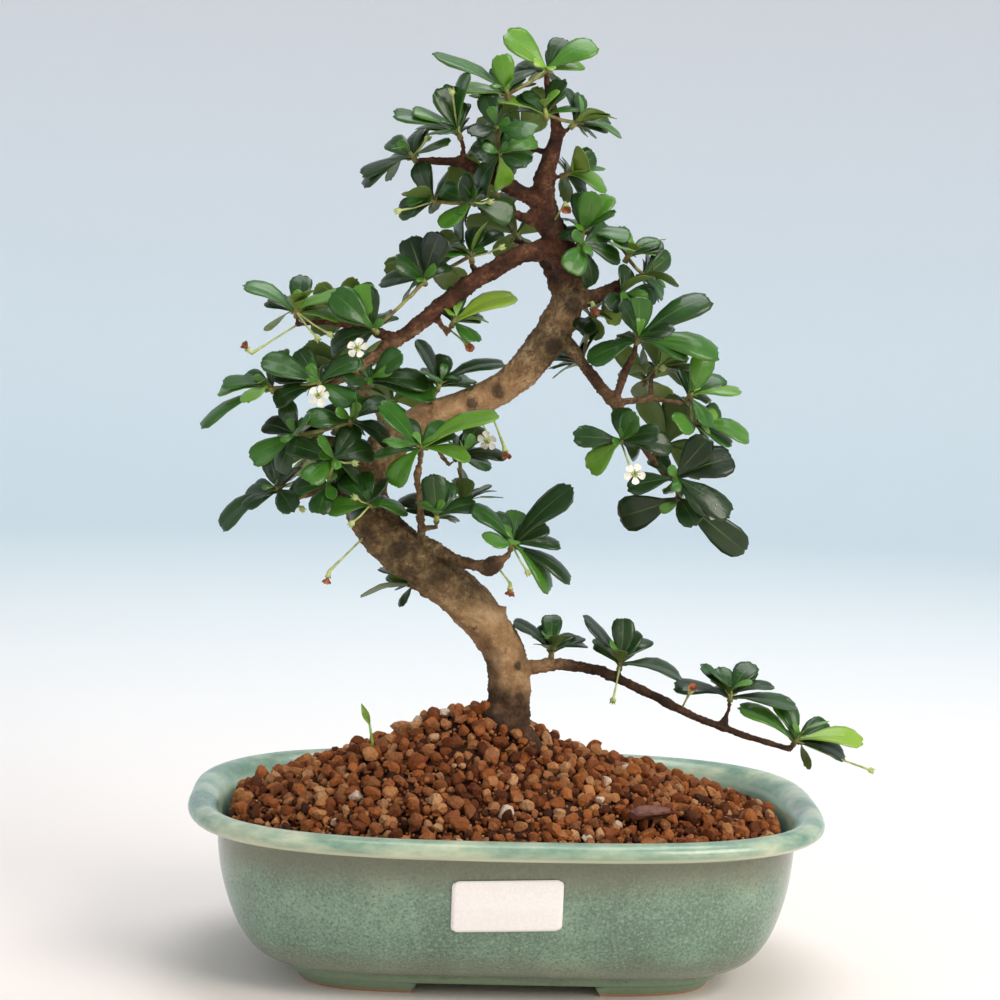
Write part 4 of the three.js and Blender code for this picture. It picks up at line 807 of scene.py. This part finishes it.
# Neighbouring shoots that a young twig joins.
LINKS = [
    ["shoulder_right", "shoulder_front"], ["right_stub_tip", "right_high_tip"],
    ["right_far_tip", "right_low_far"], ["crown_low_front", "crown_front"],
    ["crown_right", "crown_arch"], ["right_low_tip", "right_low_under"],
    ["right_mid_back", "back_right"], ["crown_low_left", "crown_left_under"],
    ["left_low_under", "left_low_inner"], ["right_inner", "trunk_back_leaf"],
    ["left_mid_front", "left_mid_tip"], ["back_shoulder", "back_crown_low"],
    ["crown_tip", "crown_left_top"], ["upper_branch_top", "back_upper"],
    ["right_top", "right_stub_front"], ["left_low_mid", "left_low_front"],
    ["bend_right", "small_branch_back"], ["left_high_tip", "back_left_high"],
    ["left_high_front", "upper_branch_mid"], ["left_low_tip", "back_left_low"],
]
# The ways a leaf may be bent clear of its neighbours: turn about the shoot and lift, in degrees.
BENDS = [
    [0, 0], [0, 12], [0, -12], [12, 0], [-12, 0], [0, 24], [0, -24], [24, 0], [-24, 0], [20, 20],
    [-20, 20], [20, -20], [-20, -20], [0, 40], [36, 0], [-36, 0],
]
UP = Vector((0, 0, 1))
# The farthest that a leaf's corners may be from the CAD's, in all, in millimetres.
MOST_OFF = 1.5


def seeded(seed):
    """The small seeded source of numbers from which the tree's leaves were grown."""
    state = seed

    def draw_one():
        nonlocal state
        state = (state + 0x6D2B79F5) & 0xFFFFFFFF
        t = ((state ^ (state >> 15)) * (1 | state)) & 0xFFFFFFFF
        t = (t + (((t ^ (t >> 7)) * (61 | t)) & 0xFFFFFFFF)) & 0xFFFFFFFF ^ t
        return (t ^ (t >> 14)) / 4294967296

    return draw_one


def grown_leaves(index):
    """One shoot's leaves before any is bent clear: foot, direction, facing, length and width."""
    _, foot, axis, seen, more = SHOOTS[index]
    draw_one = seeded(1000 + index)
    look = Vector(axis).normalized()
    reaches = []
    for k, (across, up) in enumerate(seen):
        flat_reach = math.hypot(across, up)
        length = max(flat_reach, 16 + 3 * draw_one())
        depth = math.sqrt(max(0.0, length**2 - flat_reach**2)) * (0.6 if k % 2 else -1)
        reaches.append(Vector((across, depth, up)).normalized() * length)
    side = look.cross(UP).normalized() if abs(look.z) < 0.9 else Vector((1, 0, 0))
    for k in range(more):
        turned = Quaternion(look, 2.4 * k + 2 * draw_one()) @ side
        out = (turned + look * (0.35 + 0.5 * draw_one())).normalized()
        length = 16 + 7 * draw_one()
        if seen:
            out.y = abs(out.y) * 0.9 + 0.15
        reaches.append(out.normalized() * length)
    blades = []
    for k, reach in enumerate(reaches):
        length = reach.length
        node = Vector(foot) + look * (0.7 + 2.8 * ((k * 3) % len(reaches)) / len(reaches))
        along = reach.normalized()
        facing = look + UP * 0.35 + along * (-look.dot(along) - 0.35 * along.z)
        if facing.length < 0.2:
            facing = Vector((0, -1, 0.4)) + along * (along.y - 0.4 * along.z)
        width = min(10.8, 0.47 * length) * (0.88 + 0.24 * draw_one())
        blades.append((node + along * 0.3, along, facing.normalized(), length, width))
    return blades


def bent(along, facing, axis, turn, lift):
    """A leaf's direction and facing after it is turned about its shoot and lifted."""
    swing = Quaternion(axis, math.radians(turn))
    along, facing = swing @ along, swing @ facing
    hinge = Quaternion(along.cross(facing).normalized(), math.radians(lift))
    return hinge @ along, hinge @ facing


def leaf_corner(foot, along, facing, length, width, t, w):
    """A place on a leaf's upper face in the CAD: so far along it and so far across."""
    side = along.cross(facing).normalized()
    up = side.cross(along).normalized()
    arch = 0.07 * math.sin(math.pi * min(1, t * 0.9)) + (0.03 if abs(w) > 0.3 else 0)
    return foot + along * t * length + side * w * width + up * (length * arch + 0.7)


shoot_nodes = [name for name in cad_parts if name.startswith("shoot_")]
cad_points, _ = cad_copy(shoot_nodes)
tree_of_points = kdtree.KDTree(len(cad_points))
for i, point in enumerate(cad_points):
    tree_of_points.insert(point, i)
tree_of_points.balance()


def off_cad(foot, along, facing, length, width):
    """How far a leaf's three outer corners are from the CAD's points, in millimetres."""
    corners = [
        leaf_corner(foot, along, facing, length, width, t, w)
        for t, w in ((1, 0.2), (0.66, -0.5), (0.7, 0.5))
    ]
    return sum(tree_of_points.find(at(*corner))[2] for corner in corners) * 1000


# Every leaf of the CAD is found again by trying the bends in turn. One that the CAD lacks is left out.
blades = []
for index, (name, _, axis, _, _) in enumerate(SHOOTS):
    look = Vector(axis).normalized()
    for base, along, facing, length, width in grown_leaves(index):
        found = []
        for turn, lift in BENDS:
            new_along, new_facing = bent(along, facing, look, turn, lift)
            found.append((off_cad(base, new_along, new_facing, length, width), new_along, new_facing))
        miss, new_along, new_facing = min(found, key=lambda f: f[0])
        if miss <= MOST_OFF:
            blades.append((name, base, new_along, new_facing, length, width))


def leaf_shape(name, seed, material):
    """One leaf of unit length along +X, face up, with UV along and across and its underside marked."""
    draw = np.random.default_rng(seed)
    curl, fold, twist = draw.uniform(0.02, 0.14), draw.uniform(0.03, 0.20), draw.uniform(-0.25, 0.25)
    notch, droop, teeth = draw.uniform(0.0, 0.03), draw.uniform(0.0, 0.14), draw.uniform(0.0, 0.055, 8)
    # Rows along the leaf: the midrib's place, the edge's place and its distance from the midrib.
    outline = [
        (0.0, 0.0, 0.05), (0.20, 0.19, 0.14), (0.42, 0.39, 0.33), (0.62, 0.58, 0.46), (0.80, 0.745, 0.50),
        (0.935, 0.89, 0.425), (1.0, 0.97, 0.265),
    ]
    across = [-1.0, -0.72, -0.38, -0.10, 0.10, 0.38, 0.72, 1.0]
    points, faces, flags, uvs = [], [], [], []
    for lift in (0.014, 0.0):
        for middle, edge, half in outline:
            for s, tooth in zip(across, teeth):
                x, y = middle + (edge - middle) * s * s, s * half
                x -= (notch * math.exp(-((s / 0.2) ** 2)) + tooth) * middle**9
                arch = 0.07 * math.sin(math.pi * min(1, x * 0.9)) - droop * x**3
                z = arch + fold * abs(y) - curl * 2.2 * y * y + twist * y * (x - 0.4) * 0.6
                z += 0.010 * math.sin(9 * x + seed) * abs(s)
                points.append((x, y, z + lift))
                flags.append(0.0 if lift else 1.0)
                uvs.append((middle, (s + 1) / 2))
    rows, columns = len(outline), len(across)
    lower = rows * columns
    for r in range(rows - 1):
        for c in range(columns - 1):
            a, b = r * columns + c, (r + 1) * columns + c
            faces.append((a, b, b + 1, a + 1))
            faces.append((lower + a, lower + a + 1, lower + b + 1, lower + b))
    tip_row = (rows - 1) * columns
    rim = list(range(0, tip_row, columns)) + [tip_row + c for c in range(columns)]
    rim += [r * columns + columns - 1 for r in range(rows - 2, -1, -1)]
    for a, b in zip(rim, rim[1:]):
        faces.append((a, lower + a, lower + b, b))
    mesh = bpy.data.meshes.new(name)
    mesh.from_pydata(points, [], faces)
    mesh.update()
    layer = mesh.uv_layers.new(name="leaf")
    for corner in mesh.loops:
        layer.data[corner.index].uv = uvs[corner.vertex_index]
    mesh.attributes.new("under", "FLOAT", "POINT").data.foreach_set("value", flags)
    mesh.polygons.foreach_set("use_smooth", [True] * len(mesh.polygons))
    mesh.materials.append(material)
    return bpy.data.objects.new(name, mesh)


# Leaf: waxy on top, from blackish green to bright green by age, with a faint midrib. Its shade wanders over
# about 8 mm and its surface is hammered at 1.5 mm. The underside is olive and matt.
foliage, tree, shader, spot = start_material(
    "waxy_leaf", Roughness=0.34, IOR=1.38, Coat_Weight=0.22, Coat_Roughness=0.1
)
tone = add_node(tree, "ShaderNodeAttribute", attribute_name="tone").outputs["Fac"]
under = add_node(tree, "ShaderNodeAttribute", attribute_name="under").outputs["Fac"]
wobble = add_node(tree, "ShaderNodeTexNoise", {"Vector": spot, "Scale": 130.0, "Detail": 3.0})
shifted = add_node(tree, "ShaderNodeMath", {0: wobble, 1: 0.2, 2: tone}, operation="MULTIPLY_ADD")
green = add_node(
    tree, "ShaderNodeValToRGB", {"Fac": shifted},
    stops=[
        (0.10, "#14260e"), (0.30, "#1e3c14"), (0.46, "#2f5f1b"), (0.62, "#4c7f22"), (0.80, "#6b9829"),
        (1.0, "#8eaf3c"),
    ],
)
pale = add_node(
    tree, "ShaderNodeValToRGB", {"Fac": shifted},
    stops=[(0.1, "#4a622c"), (0.5, "#667f36"), (0.9, "#8ca646")],
)
uv = add_node(tree, "ShaderNodeUVMap", uv_map="leaf")
uv_split = add_node(tree, "ShaderNodeSeparateXYZ", {"Vector": uv.outputs["UV"]})
off_middle = add_node(tree, "ShaderNodeMath", {0: uv_split.outputs["Y"], 1: 0.5}, operation="SUBTRACT")
beside = add_node(tree, "ShaderNodeMath", {0: off_middle}, operation="ABSOLUTE")
midrib = add_node(
    tree, "ShaderNodeMapRange",
    {"Value": beside, "From Min": 0.008, "From Max": 0.03, "To Min": 0.45, "To Max": 0.0},
)
fading = add_node(
    tree, "ShaderNodeMapRange",
    {"Value": uv_split.outputs["X"], "From Min": 0.3, "From Max": 0.95, "To Min": 1.0, "To Max": 0.1},
)
rib = add_node(tree, "ShaderNodeMath", {0: midrib, 1: fading}, operation="MULTIPLY")
veined = add_node(tree, "ShaderNodeMix", {0: rib, 6: green, 7: paint("#76984a")}, data_type="RGBA")
two_sided = add_node(tree, "ShaderNodeMix", {0: under, 6: veined, 7: pale}, data_type="RGBA")
tree.links.new(two_sided.outputs[2], shader.inputs["Base Color"])
sheen = add_node(
    tree, "ShaderNodeMapRange",
    {"Value": under, "From Min": 0.0, "From Max": 1.0, "To Min": 0.34, "To Max": 0.65},
)
tree.links.new(sheen.outputs[0], shader.inputs["Roughness"])
hammered = add_node(tree, "ShaderNodeTexNoise", {"Vector": spot, "Scale": 650.0, "Detail": 2.0})
vein_bump = add_node(tree, "ShaderNodeMath", {0: rib, 1: -1.2, 2: hammered}, operation="MULTIPLY_ADD")
bump = add_node(tree, "ShaderNodeBump", {"Height": vein_bump, "Strength": 0.4, "Distance": 0.0004})
tree.links.new(bump.outputs["Normal"], shader.inputs["Normal"])

# How young and bright the leaves of some shoots are, where 0 is an old dark leaf.
YOUNG = {
    "crown_tip": 0.60, "crown_left_top": 0.47, "crown_arch": 0.42, "low_branch_tip": 0.42,
    "upper_branch_right": 0.52, "small_branch_tip": 0.32, "right_low_far": 0.47, "crown_left": 0.32,
    "twig_top": 0.34, "crown_right": 0.42, "crown_right_mid": 0.54, "right_high_tip": 0.54,
    "left_mid_tip": 0.47, "left_high_tip": 0.38, "shoulder_right": 0.34, "right_top": 0.28,
    "right_far_tip": 0.42,
}
LEAF_SHAPES = 8
draw = np.random.default_rng(7)
sources = [leaf_shape(f"leaf_{k:02d}", 40 + k, foliage) for k in range(LEAF_SHAPES)]
places, turns, sizes, kinds, tones = [], [], [], [], []


def lay_leaf(foot, along, facing, length, width, young):
    """Adds one leaf to the lists that the leaves are scattered from."""
    up = (facing - along * facing.dot(along)).normalized()
    side = up.cross(along).normalized()
    basis = Matrix((along, side, up)).transposed()
    places.append(at(*(foot + up * 0.25)))
    turns.append(tuple(basis.to_quaternion()))
    sizes.append((length / 1000, width / 1000, length / 1000))
    kinds.append(int(draw.integers(LEAF_SHAPES)))
    tones.append(young)


# The CAD's leaves are drawn a fifth wider, as the real ones are. About one in eight has just unfolded.
for name, base, along, facing, length, width in blades:
    young = YOUNG.get(name, 0.2) + draw.normal() * 0.13 + (0.28 if draw.random() < 0.12 else 0)
    lay_leaf(base, along, facing, length, width * 1.2, min(0.9, max(0.0, young)))
# Two small fresh leaves stand in the middle of each tuft, with short old ones behind them.
for index, (name, foot, axis, seen, _) in enumerate(SHOOTS):
    look = Vector(axis).normalized()
    side = look.cross(UP).normalized() if abs(look.z) < 0.9 else Vector((1, 0, 0))
    for k in range(12 if "crown" in name or "shoulder" in name else 9):
        fresh = k < 2
        out = (Quaternion(look, 2.1 * k + index) @ side + look * draw.uniform(0.5, 1.3)).normalized()
        if not fresh and seen:
            out.y = abs(out.y) + 0.3
            out.normalize()
        facing = look - out * look.dot(out)
        if facing.length < 0.05:
            continue
        length = draw.uniform(6, 10) if fresh else draw.uniform(12, 18)
        young = YOUNG.get(name, 0.3) + draw.uniform(0.05, 0.25) if fresh else 0.15 + 0.15 * draw.random()
        base = Vector(foot) + look * (4 if fresh else 1)
        lay_leaf(base, out, facing.normalized(), length, length * 0.52, min(0.9, young))
leaves = scatter("foliage", sources, places, turns, sizes, kinds, tones, foliage)
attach(leaves, "root")
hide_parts(*shoot_nodes)

# Young stem: satin, drifting between brown and yellow-green over about 5 mm.
twig_skin, tree, shader, spot = start_material("young_stem", Roughness=0.55)
drift = add_node(tree, "ShaderNodeTexNoise", {"Vector": spot, "Scale": 220.0, "Detail": 3.0})
stem_colour = add_node(
    tree, "ShaderNodeValToRGB", {"Fac": drift},
    stops=[(0.34, "#5a4a2c"), (0.50, "#7c7442"), (0.66, "#94a052")],
)
tree.links.new(stem_colour.outputs["Color"], shader.inputs["Base Color"])


def tube(line, radii, sides):
    """Points and faces of a closed tube along a line, in millimetres."""
    rings = []
    for i, place in enumerate(line):
        ahead = (line[min(len(line) - 1, i + 1)] - line[max(0, i - 1)]).normalized()
        turn = UP.rotation_difference(ahead)
        ring = []
        for k in range(sides):
            angle = 2 * math.pi * k / sides
            out = Vector((radii[i] * math.cos(angle), radii[i] * math.sin(angle), 0))
            ring.append(place + turn @ out)
        rings.append(ring)
    points = [p for ring in rings for p in ring]
    last = len(points) - sides
    return points, skin(rings) + [tuple(reversed(range(sides))), tuple(last + k for k in range(sides))]


def together(parts):
    """Several bodies' points and faces as one list of each, placed in the frame."""
    points, faces = [], []
    for part_points, part_faces in parts:
        start = len(points)
        points += [at(*p) for p in part_points]
        faces += [tuple(start + i for i in face) for face in part_faces]
    return points, faces


ends = {name: (Vector(foot), Vector(axis).normalized()) for name, foot, axis, _, _ in SHOOTS}
stems = []
for foot, look in ends.values():
    stems.append(tube([foot - look * 0.6, foot + look * 2, foot + look * 4.2], [1.25, 1.0, 0.6], 8))
for first, second in LINKS:
    start, end = ends[first][0] + ends[first][1] * 2.6, ends[second][0] + ends[second][1] * 1.6
    sag = Vector((0, 0, -0.6))
    stems.append(tube([start, start.lerp(end, 0.5) + sag, end], [0.8, 0.7, 0.8], 7))
for _, base, along, facing, _, _ in blades:
    stems.append(tube([base - along * 0.5, base + along * 2.5 + facing * 0.3], [0.5, 0.42], 5))
young_stems = make_piece("young_stems", *together(stems), twig_skin)
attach(young_stems, "root")

# Flowers.
# Small white five-lobed blossoms on green cups, the withered ones that still hang brown on their stalks,
# and pale green seed cups. The tables give each blossom's name, middle and the way it faces.
FLOWERS = [
    ["flower_1", [-63, -29, 248], [-0.2, -1, 0.35]],
    ["flower_2", [-77, -36, 230], [0, -1, 0.3]],
    ["flower_3", [43, -38, 204], [0.2, -1, 0.2]],
    ["flower_4", [75, -24, 190], [0.6, -0.8, 0.2]],
    ["flower_5", [-12, -10, 213], [-0.3, -0.9, -0.3]],
]
WITHERED = [
    ["withered_flower_1", [15, -17, 304], [0.1, -0.8, -0.6]],
    ["withered_flower_2", [27, -16, 266], [0.2, -0.7, -0.7]],
    ["withered_flower_3", [-105, -18, 246], [-0.6, -0.4, 0.7]],
    ["withered_flower_4", [-21, -14, 250], [0.4, -0.8, -0.4]],
    ["withered_flower_5", [-5, -9, 209], [0.2, -0.6, -0.8]],
    ["withered_flower_6", [-72, -25, 160], [-0.2, -0.2, -1]],
    ["withered_flower_7", [-2, -23, 157], [0, -0.5, -0.9]],
    ["withered_flower_8", [71, -10, 117], [0.2, -0.6, 0.6]],
]
# The shoot that each seed cup hangs on, and the cup's place.
CUPS = [
    ["crown_left", [-30, -14, 347]], ["crown_left_tip", [-38, -12, 329]],
    ["crown_left_under", [-50, -16, 300]], ["crown_low_left", [-13, -14, 305]],
    ["upper_branch_top", [-8, -10, 288]], ["left_high_tip", [-78, -16, 250]],
    ["left_high_tip", [-73, -17, 252]], ["left_low_inner", [-62, -38, 205]],
    ["left_low_tip", [-89, -21, 184]], ["left_low_tip", [-82, -21, 185]],
    ["bend_front", [-63, -34, 192]], ["bend_front", [-64, -33, 181]], ["right_mid_back", [56, -6, 243]],
    ["right_low_under", [76, -17, 195]], ["trunk_back_shoot", [-28, 5, 162]],
    ["small_branch_tip", [5, -25, 163]], ["low_branch_tip", [144, -12, 87]],
    ["low_branch_2", [40, -13, 112]],
]


def plain(name, dark, light, scale, roughness):
    """A material that drifts between two shades, over 1000/scale millimetres."""
    made, tree, shader, spot = start_material(name, Roughness=roughness)
    drift = add_node(tree, "ShaderNodeTexNoise", {"Vector": spot, "Scale": scale, "Detail": 4.0})
    shades = add_node(tree, "ShaderNodeValToRGB", {"Fac": drift}, stops=[(0.35, dark), (0.65, light)])
    tree.links.new(shades.outputs["Color"], shader.inputs["Base Color"])
    return made


# Petals: soft and satin when open, matt and brown when withered. The cups are satin green.
petal_skin = plain("white_petal", "#dcd9c6", "#f6f3ea", 500.0, 0.5)
withered_skin = plain("withered_petal", "#6b3420", "#b5754c", 500.0, 0.75)
cup_skin = plain("green_calyx", "#8fa05a", "#c4cd86", 400.0, 0.55)


def corolla(centre, look, radius, shut, seed):
    """Five lobes round the middle, as points and faces, each bent up by the angle that it is shut."""
    draw = np.random.default_rng(seed)
    turn = UP.rotation_difference(look)
    # Each lobe's rows: how far out, and half as wide as what share of the radius.
    rows = [(0.0, 0.13), (0.25, 0.17), (0.45, 0.27), (0.68, 0.36), (0.88, 0.33), (1.0, 0.16)]
    points, faces = [], []
    for lobe in range(5):
        swing = 2 * math.pi * lobe / 5 + draw.uniform(-0.1, 0.1)
        bend = shut + draw.uniform(-0.12, 0.12)
        start = len(points)
        for t, half in rows:
            for s in (-1, -0.5, 0, 0.5, 1):
                reach = radius * (0.12 + 0.88 * t) * (1 - 0.04 * abs(s) * t)
                curl = 0.16 * radius * t * t * math.sin(lobe + 2.0)
                rise = math.sin(bend) * reach - 0.12 * radius * t * t * (1 - abs(s)) + curl
                flat_point = Vector((math.cos(bend) * reach, s * half * radius, rise))
                flat_point.rotate(Euler((0, 0, swing)))
                points.append(centre + turn @ flat_point)
        for row in range(5):
            for c in range(4):
                a, b = start + row * 5 + c, start + (row + 1) * 5 + c
                faces.append((a, b, b + 1, a + 1))
    return points, faces


petals, brown_petals, cups, filaments = [], [], [], []
# Every seventh point of the bark, to find where a stalk starts.
bark_points = [Vector(spots[i]) for i in range(0, len(spots), 7)]
near_wood = kdtree.KDTree(len(bark_points))
for i, place in enumerate(bark_points):
    near_wood.insert(place, i)
near_wood.balance()
for number, (name, centre, axis) in enumerate(FLOWERS + WITHERED):
    centre, look = Vector(centre), Vector(axis).normalized()
    open_flower = name.startswith("flower")
    (petals if open_flower else brown_petals).append(
        corolla(centre, look, 4.2 if open_flower else 3.4, 0.15 if open_flower else 1.0, number)
    )
    back = centre - look * 2.4
    hold = near_wood.find(back)[0]
    cups.append(tube([hold, hold.lerp(back, 0.6), back, centre + look * 0.3], [0.4, 0.4, 0.7, 1.3], 9))
    if open_flower:
        for k in range(5):
            out = look.orthogonal().normalized()
            out.rotate(Quaternion(look, 2 * math.pi * k / 5 + 0.6))
            tip = centre + look * 2.4 + out * 1.5
            filaments.append(tube([centre, tip, tip + look * 0.5], [0.16, 0.16, 0.32], 5))
for name, place in CUPS:
    foot, look = ends[name]
    start, end = foot + look * 2, Vector(place)
    along = (end - start).normalized()
    middle = start.lerp(end, 0.5) + Vector((0, 0, -0.5))
    line = [start, middle, end - along * 2.4, end - along * 1.2, end]
    cups.append(tube(line, [0.42, 0.36, 0.5, 1.35, 0.9], 8))
    for k in range(5):
        out = along.orthogonal().normalized()
        out.rotate(Quaternion(along, 2 * math.pi * k / 5))
        cups.append(tube([end - along * 1.0 + out * 0.7, end + along * 0.6 + out * 1.1], [0.45, 0.12], 4))
flower_names = [name for name, _, _ in FLOWERS]
withered_names = [name for name, _, _ in WITHERED]
white = make_piece("open_flowers", *together(petals), petal_skin)
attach(white, "root")
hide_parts(*flower_names)
brown = make_piece("withered_flowers", *together(brown_petals), withered_skin)
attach(brown, "root")
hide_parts(*withered_names)
green_cups = make_piece("flower_cups", *together(cups + filaments), cup_skin)
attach(green_cups, "root")

# Weed sprout.
# One narrow spear-shaped seed leaf on a thin stem, come up by itself in the soil to the left of the trunk.
# It is fresh green, soft and satin.
sprout_foot = Vector((-53, -8, soil_height(-53, -8) - 2))
sprout_top = sprout_foot + Vector((-1.6, -1, 14))
stalk = tube([sprout_foot, sprout_foot + Vector((-0.4, 0, 7)), sprout_top], [0.7, 0.55, 0.5], 8)
spear_points, spear_faces = [], []
spear_way, spear_side = Vector((-0.36, -0.2, 0.9)).normalized(), Vector((0.9, -0.2, 0.35)).normalized()
for row, half in enumerate((0.3, 0.9, 1.4, 1.5, 1.2, 0.7, 0.1)):
    for s in (-1, 0, 1):
        lift = Vector((-0.3, -0.8, 0.3)) * (0.5 * (1 - abs(s)))
        spear_points.append(sprout_top + spear_way * row * 1.6 + spear_side * s * half - lift)
for row in range(6):
    for c in range(2):
        a, b = row * 3 + c, (row + 1) * 3 + c
        spear_faces.append((a, a + 1, b + 1, b))
weed_skin = plain("weed_leaf", "#6d9437", "#94b954", 300.0, 0.45)
weed = make_piece("weed", *together([stalk, (spear_points, spear_faces)]), weed_skin)
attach(weed, "root")
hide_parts("weed_sprout")

# Fallen leaf.
# A dead leaf of the tree, dried maroon-brown and curled, lying on the soil at the front right. It has lost
# its wax and is dull.
dead_skin = plain("dead_leaf", "#4a231d", "#83503c", 260.0, 0.5)
dead_points, dead_faces = cad_copy(["fallen_leaf"])
# The granules stand a little proud of the mound, and it lies on top of them.
dead_points = [p + Vector((0, 0, 0.0035)) for p in dead_points]
dead = make_piece("dead_leaf", dead_points, dead_faces, dead_skin)
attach(dead, "root")
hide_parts("fallen_leaf")

# Setting.
# A pale sweep of studio paper: floor and backdrop in one, warm white in front and bluish grey behind. It is
# a round dish, so that the tree can be looked at from behind too, and matt, so that it takes soft shadows.
SWEEP_SIDES = 72
# Its profile from the middle: reach and height in metres, with a bend of 0.8 m between floor and wall.
sweep_line = [(0.3, 0.0), (0.7, 0.0), (1.2, 0.0), (1.6, 0.0)]
sweep_line += [
    (1.6 + 0.8 * math.sin(a), 0.8 - 0.8 * math.cos(a)) for a in np.linspace(0.15, math.pi / 2, 9)
]
sweep_line += [(2.4, 1.4), (2.4, 2.2)]
sweep_points = []
for reach, z in sweep_line:
    for k in range(SWEEP_SIDES):
        angle = 2 * math.pi * k / SWEEP_SIDES
        sweep_points.append((reach * math.cos(angle), reach * math.sin(angle), z))
middle = len(sweep_points)
sweep_points.append((0.0, 0.0, 0.0))
sweep_faces = skin([range(SWEEP_SIDES)] * len(sweep_line))
sweep_faces += [((k + 1) % SWEEP_SIDES, k, middle) for k in range(SWEEP_SIDES)]
paper_sweep, tree, shader, spot = start_material("studio_paper", Roughness=0.7)
split = add_node(tree, "ShaderNodeSeparateXYZ", {"Vector": spot})
# How far back along the floor and up the wall, in metres.
along = add_node(
    tree, "ShaderNodeMath", {0: split.outputs["Z"], 1: 2.0, 2: split.outputs["Y"]}, operation="MULTIPLY_ADD"
)
back = add_node(tree, "ShaderNodeMapRange", {"Value": along, "From Min": -0.4, "From Max": 3.6})
sweep_colour = add_node(
    tree, "ShaderNodeValToRGB", {"Fac": back},
    stops=[
        (0.0, "#f4e8e0"), (0.15, "#f3ebe6"), (0.35, "#e6eef1"), (0.5, "#daeaf2"), (0.7, "#dbe8f0"),
        (1.0, "#d6d8de"),
    ],
)
tree.links.new(sweep_colour.outputs["Color"], shader.inputs["Base Color"])
sweep = make_piece("studio_sweep", sweep_points, sweep_faces, paper_sweep)
sweep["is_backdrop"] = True

# Lights.
# A large soft light from the upper right in front, a weaker fill from the left, one overhead, one on the
# backdrop and a pale surround.
world = bpy.data.worlds.new("surround")
world.use_nodes = True
world.node_tree.nodes["Background"].inputs["Color"].default_value = paint("#dfe8f0")
world.node_tree.nodes["Background"].inputs["Strength"].default_value = 0.45
bpy.context.scene.world = world


def soft_light(name, place, aim, size, power, shade):
    """A square area light turned to a place."""
    data = bpy.data.lights.new(name, "AREA")
    data.shape = "SQUARE"
    data.size = size
    data.energy = power
    data.color = paint(shade)[:3]
    lamp = bpy.data.objects.new(name, data)
    lamp.location = place
    lamp.rotation_euler = (Vector(aim) - Vector(place)).to_track_quat("-Z", "Y").to_euler()
    bpy.context.scene.collection.objects.link(lamp)


soft_light("key", (1.1, -1.05, 1.1), (0, 0, 0.15), 1.0, 25.0, "#fff9f0")
soft_light("fill", (-1.1, -0.9, 0.8), (0, 0, 0.15), 0.9, 3.2, "#f3f8ff")
soft_light("top", (0.15, 0.2, 1.4), (0, 0, 0.2), 0.9, 9.0, "#fbfcff")
soft_light("backdrop", (0.0, 0.7, 1.7), (0.1, 2.3, 0.55), 1.2, 9.8, "#fffdfa")
# Colours are shown as they are, with no film curve over them.
bpy.context.scene.view_settings.view_transform = "Standard"

# Camera.
# It looks at the pot's front from about a metre away and a little above the soil, with a lens of about
# 94 mm. Its angles are in radians, and its place is in millimetres.
PITCH, YAW, ROLL = -0.0948, 0.0421, 0.0317
CAMERA_PLACE = (-48.96, -1020.05, 286.15)
# The photo's focal length in pixels, its width in pixels, and the sensor's width in millimetres.
FOCAL, PHOTO_WIDTH, SENSOR = 2613, 1000, 36
forward = Vector((math.sin(YAW) * math.cos(PITCH), math.cos(YAW) * math.cos(PITCH), math.sin(PITCH)))
right = Vector((math.cos(YAW), -math.sin(YAW), 0))
upward = right.cross(forward)
rolled_right = right * math.cos(ROLL) + upward * math.sin(ROLL)
rolled_up = upward * math.cos(ROLL) - right * math.sin(ROLL)
camera_data = bpy.data.cameras.new("photo_camera")
camera_data.lens = FOCAL / PHOTO_WIDTH * SENSOR
camera_data.sensor_width = SENSOR
camera = bpy.data.objects.new("photo_camera", camera_data)
turned = Matrix((rolled_right, rolled_up, -forward)).transposed().to_4x4()
camera.matrix_world = Matrix.Translation(at(*CAMERA_PLACE)) @ turned
bpy.context.scene.collection.objects.link(camera)
bpy.context.scene.camera = camera

low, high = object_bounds()
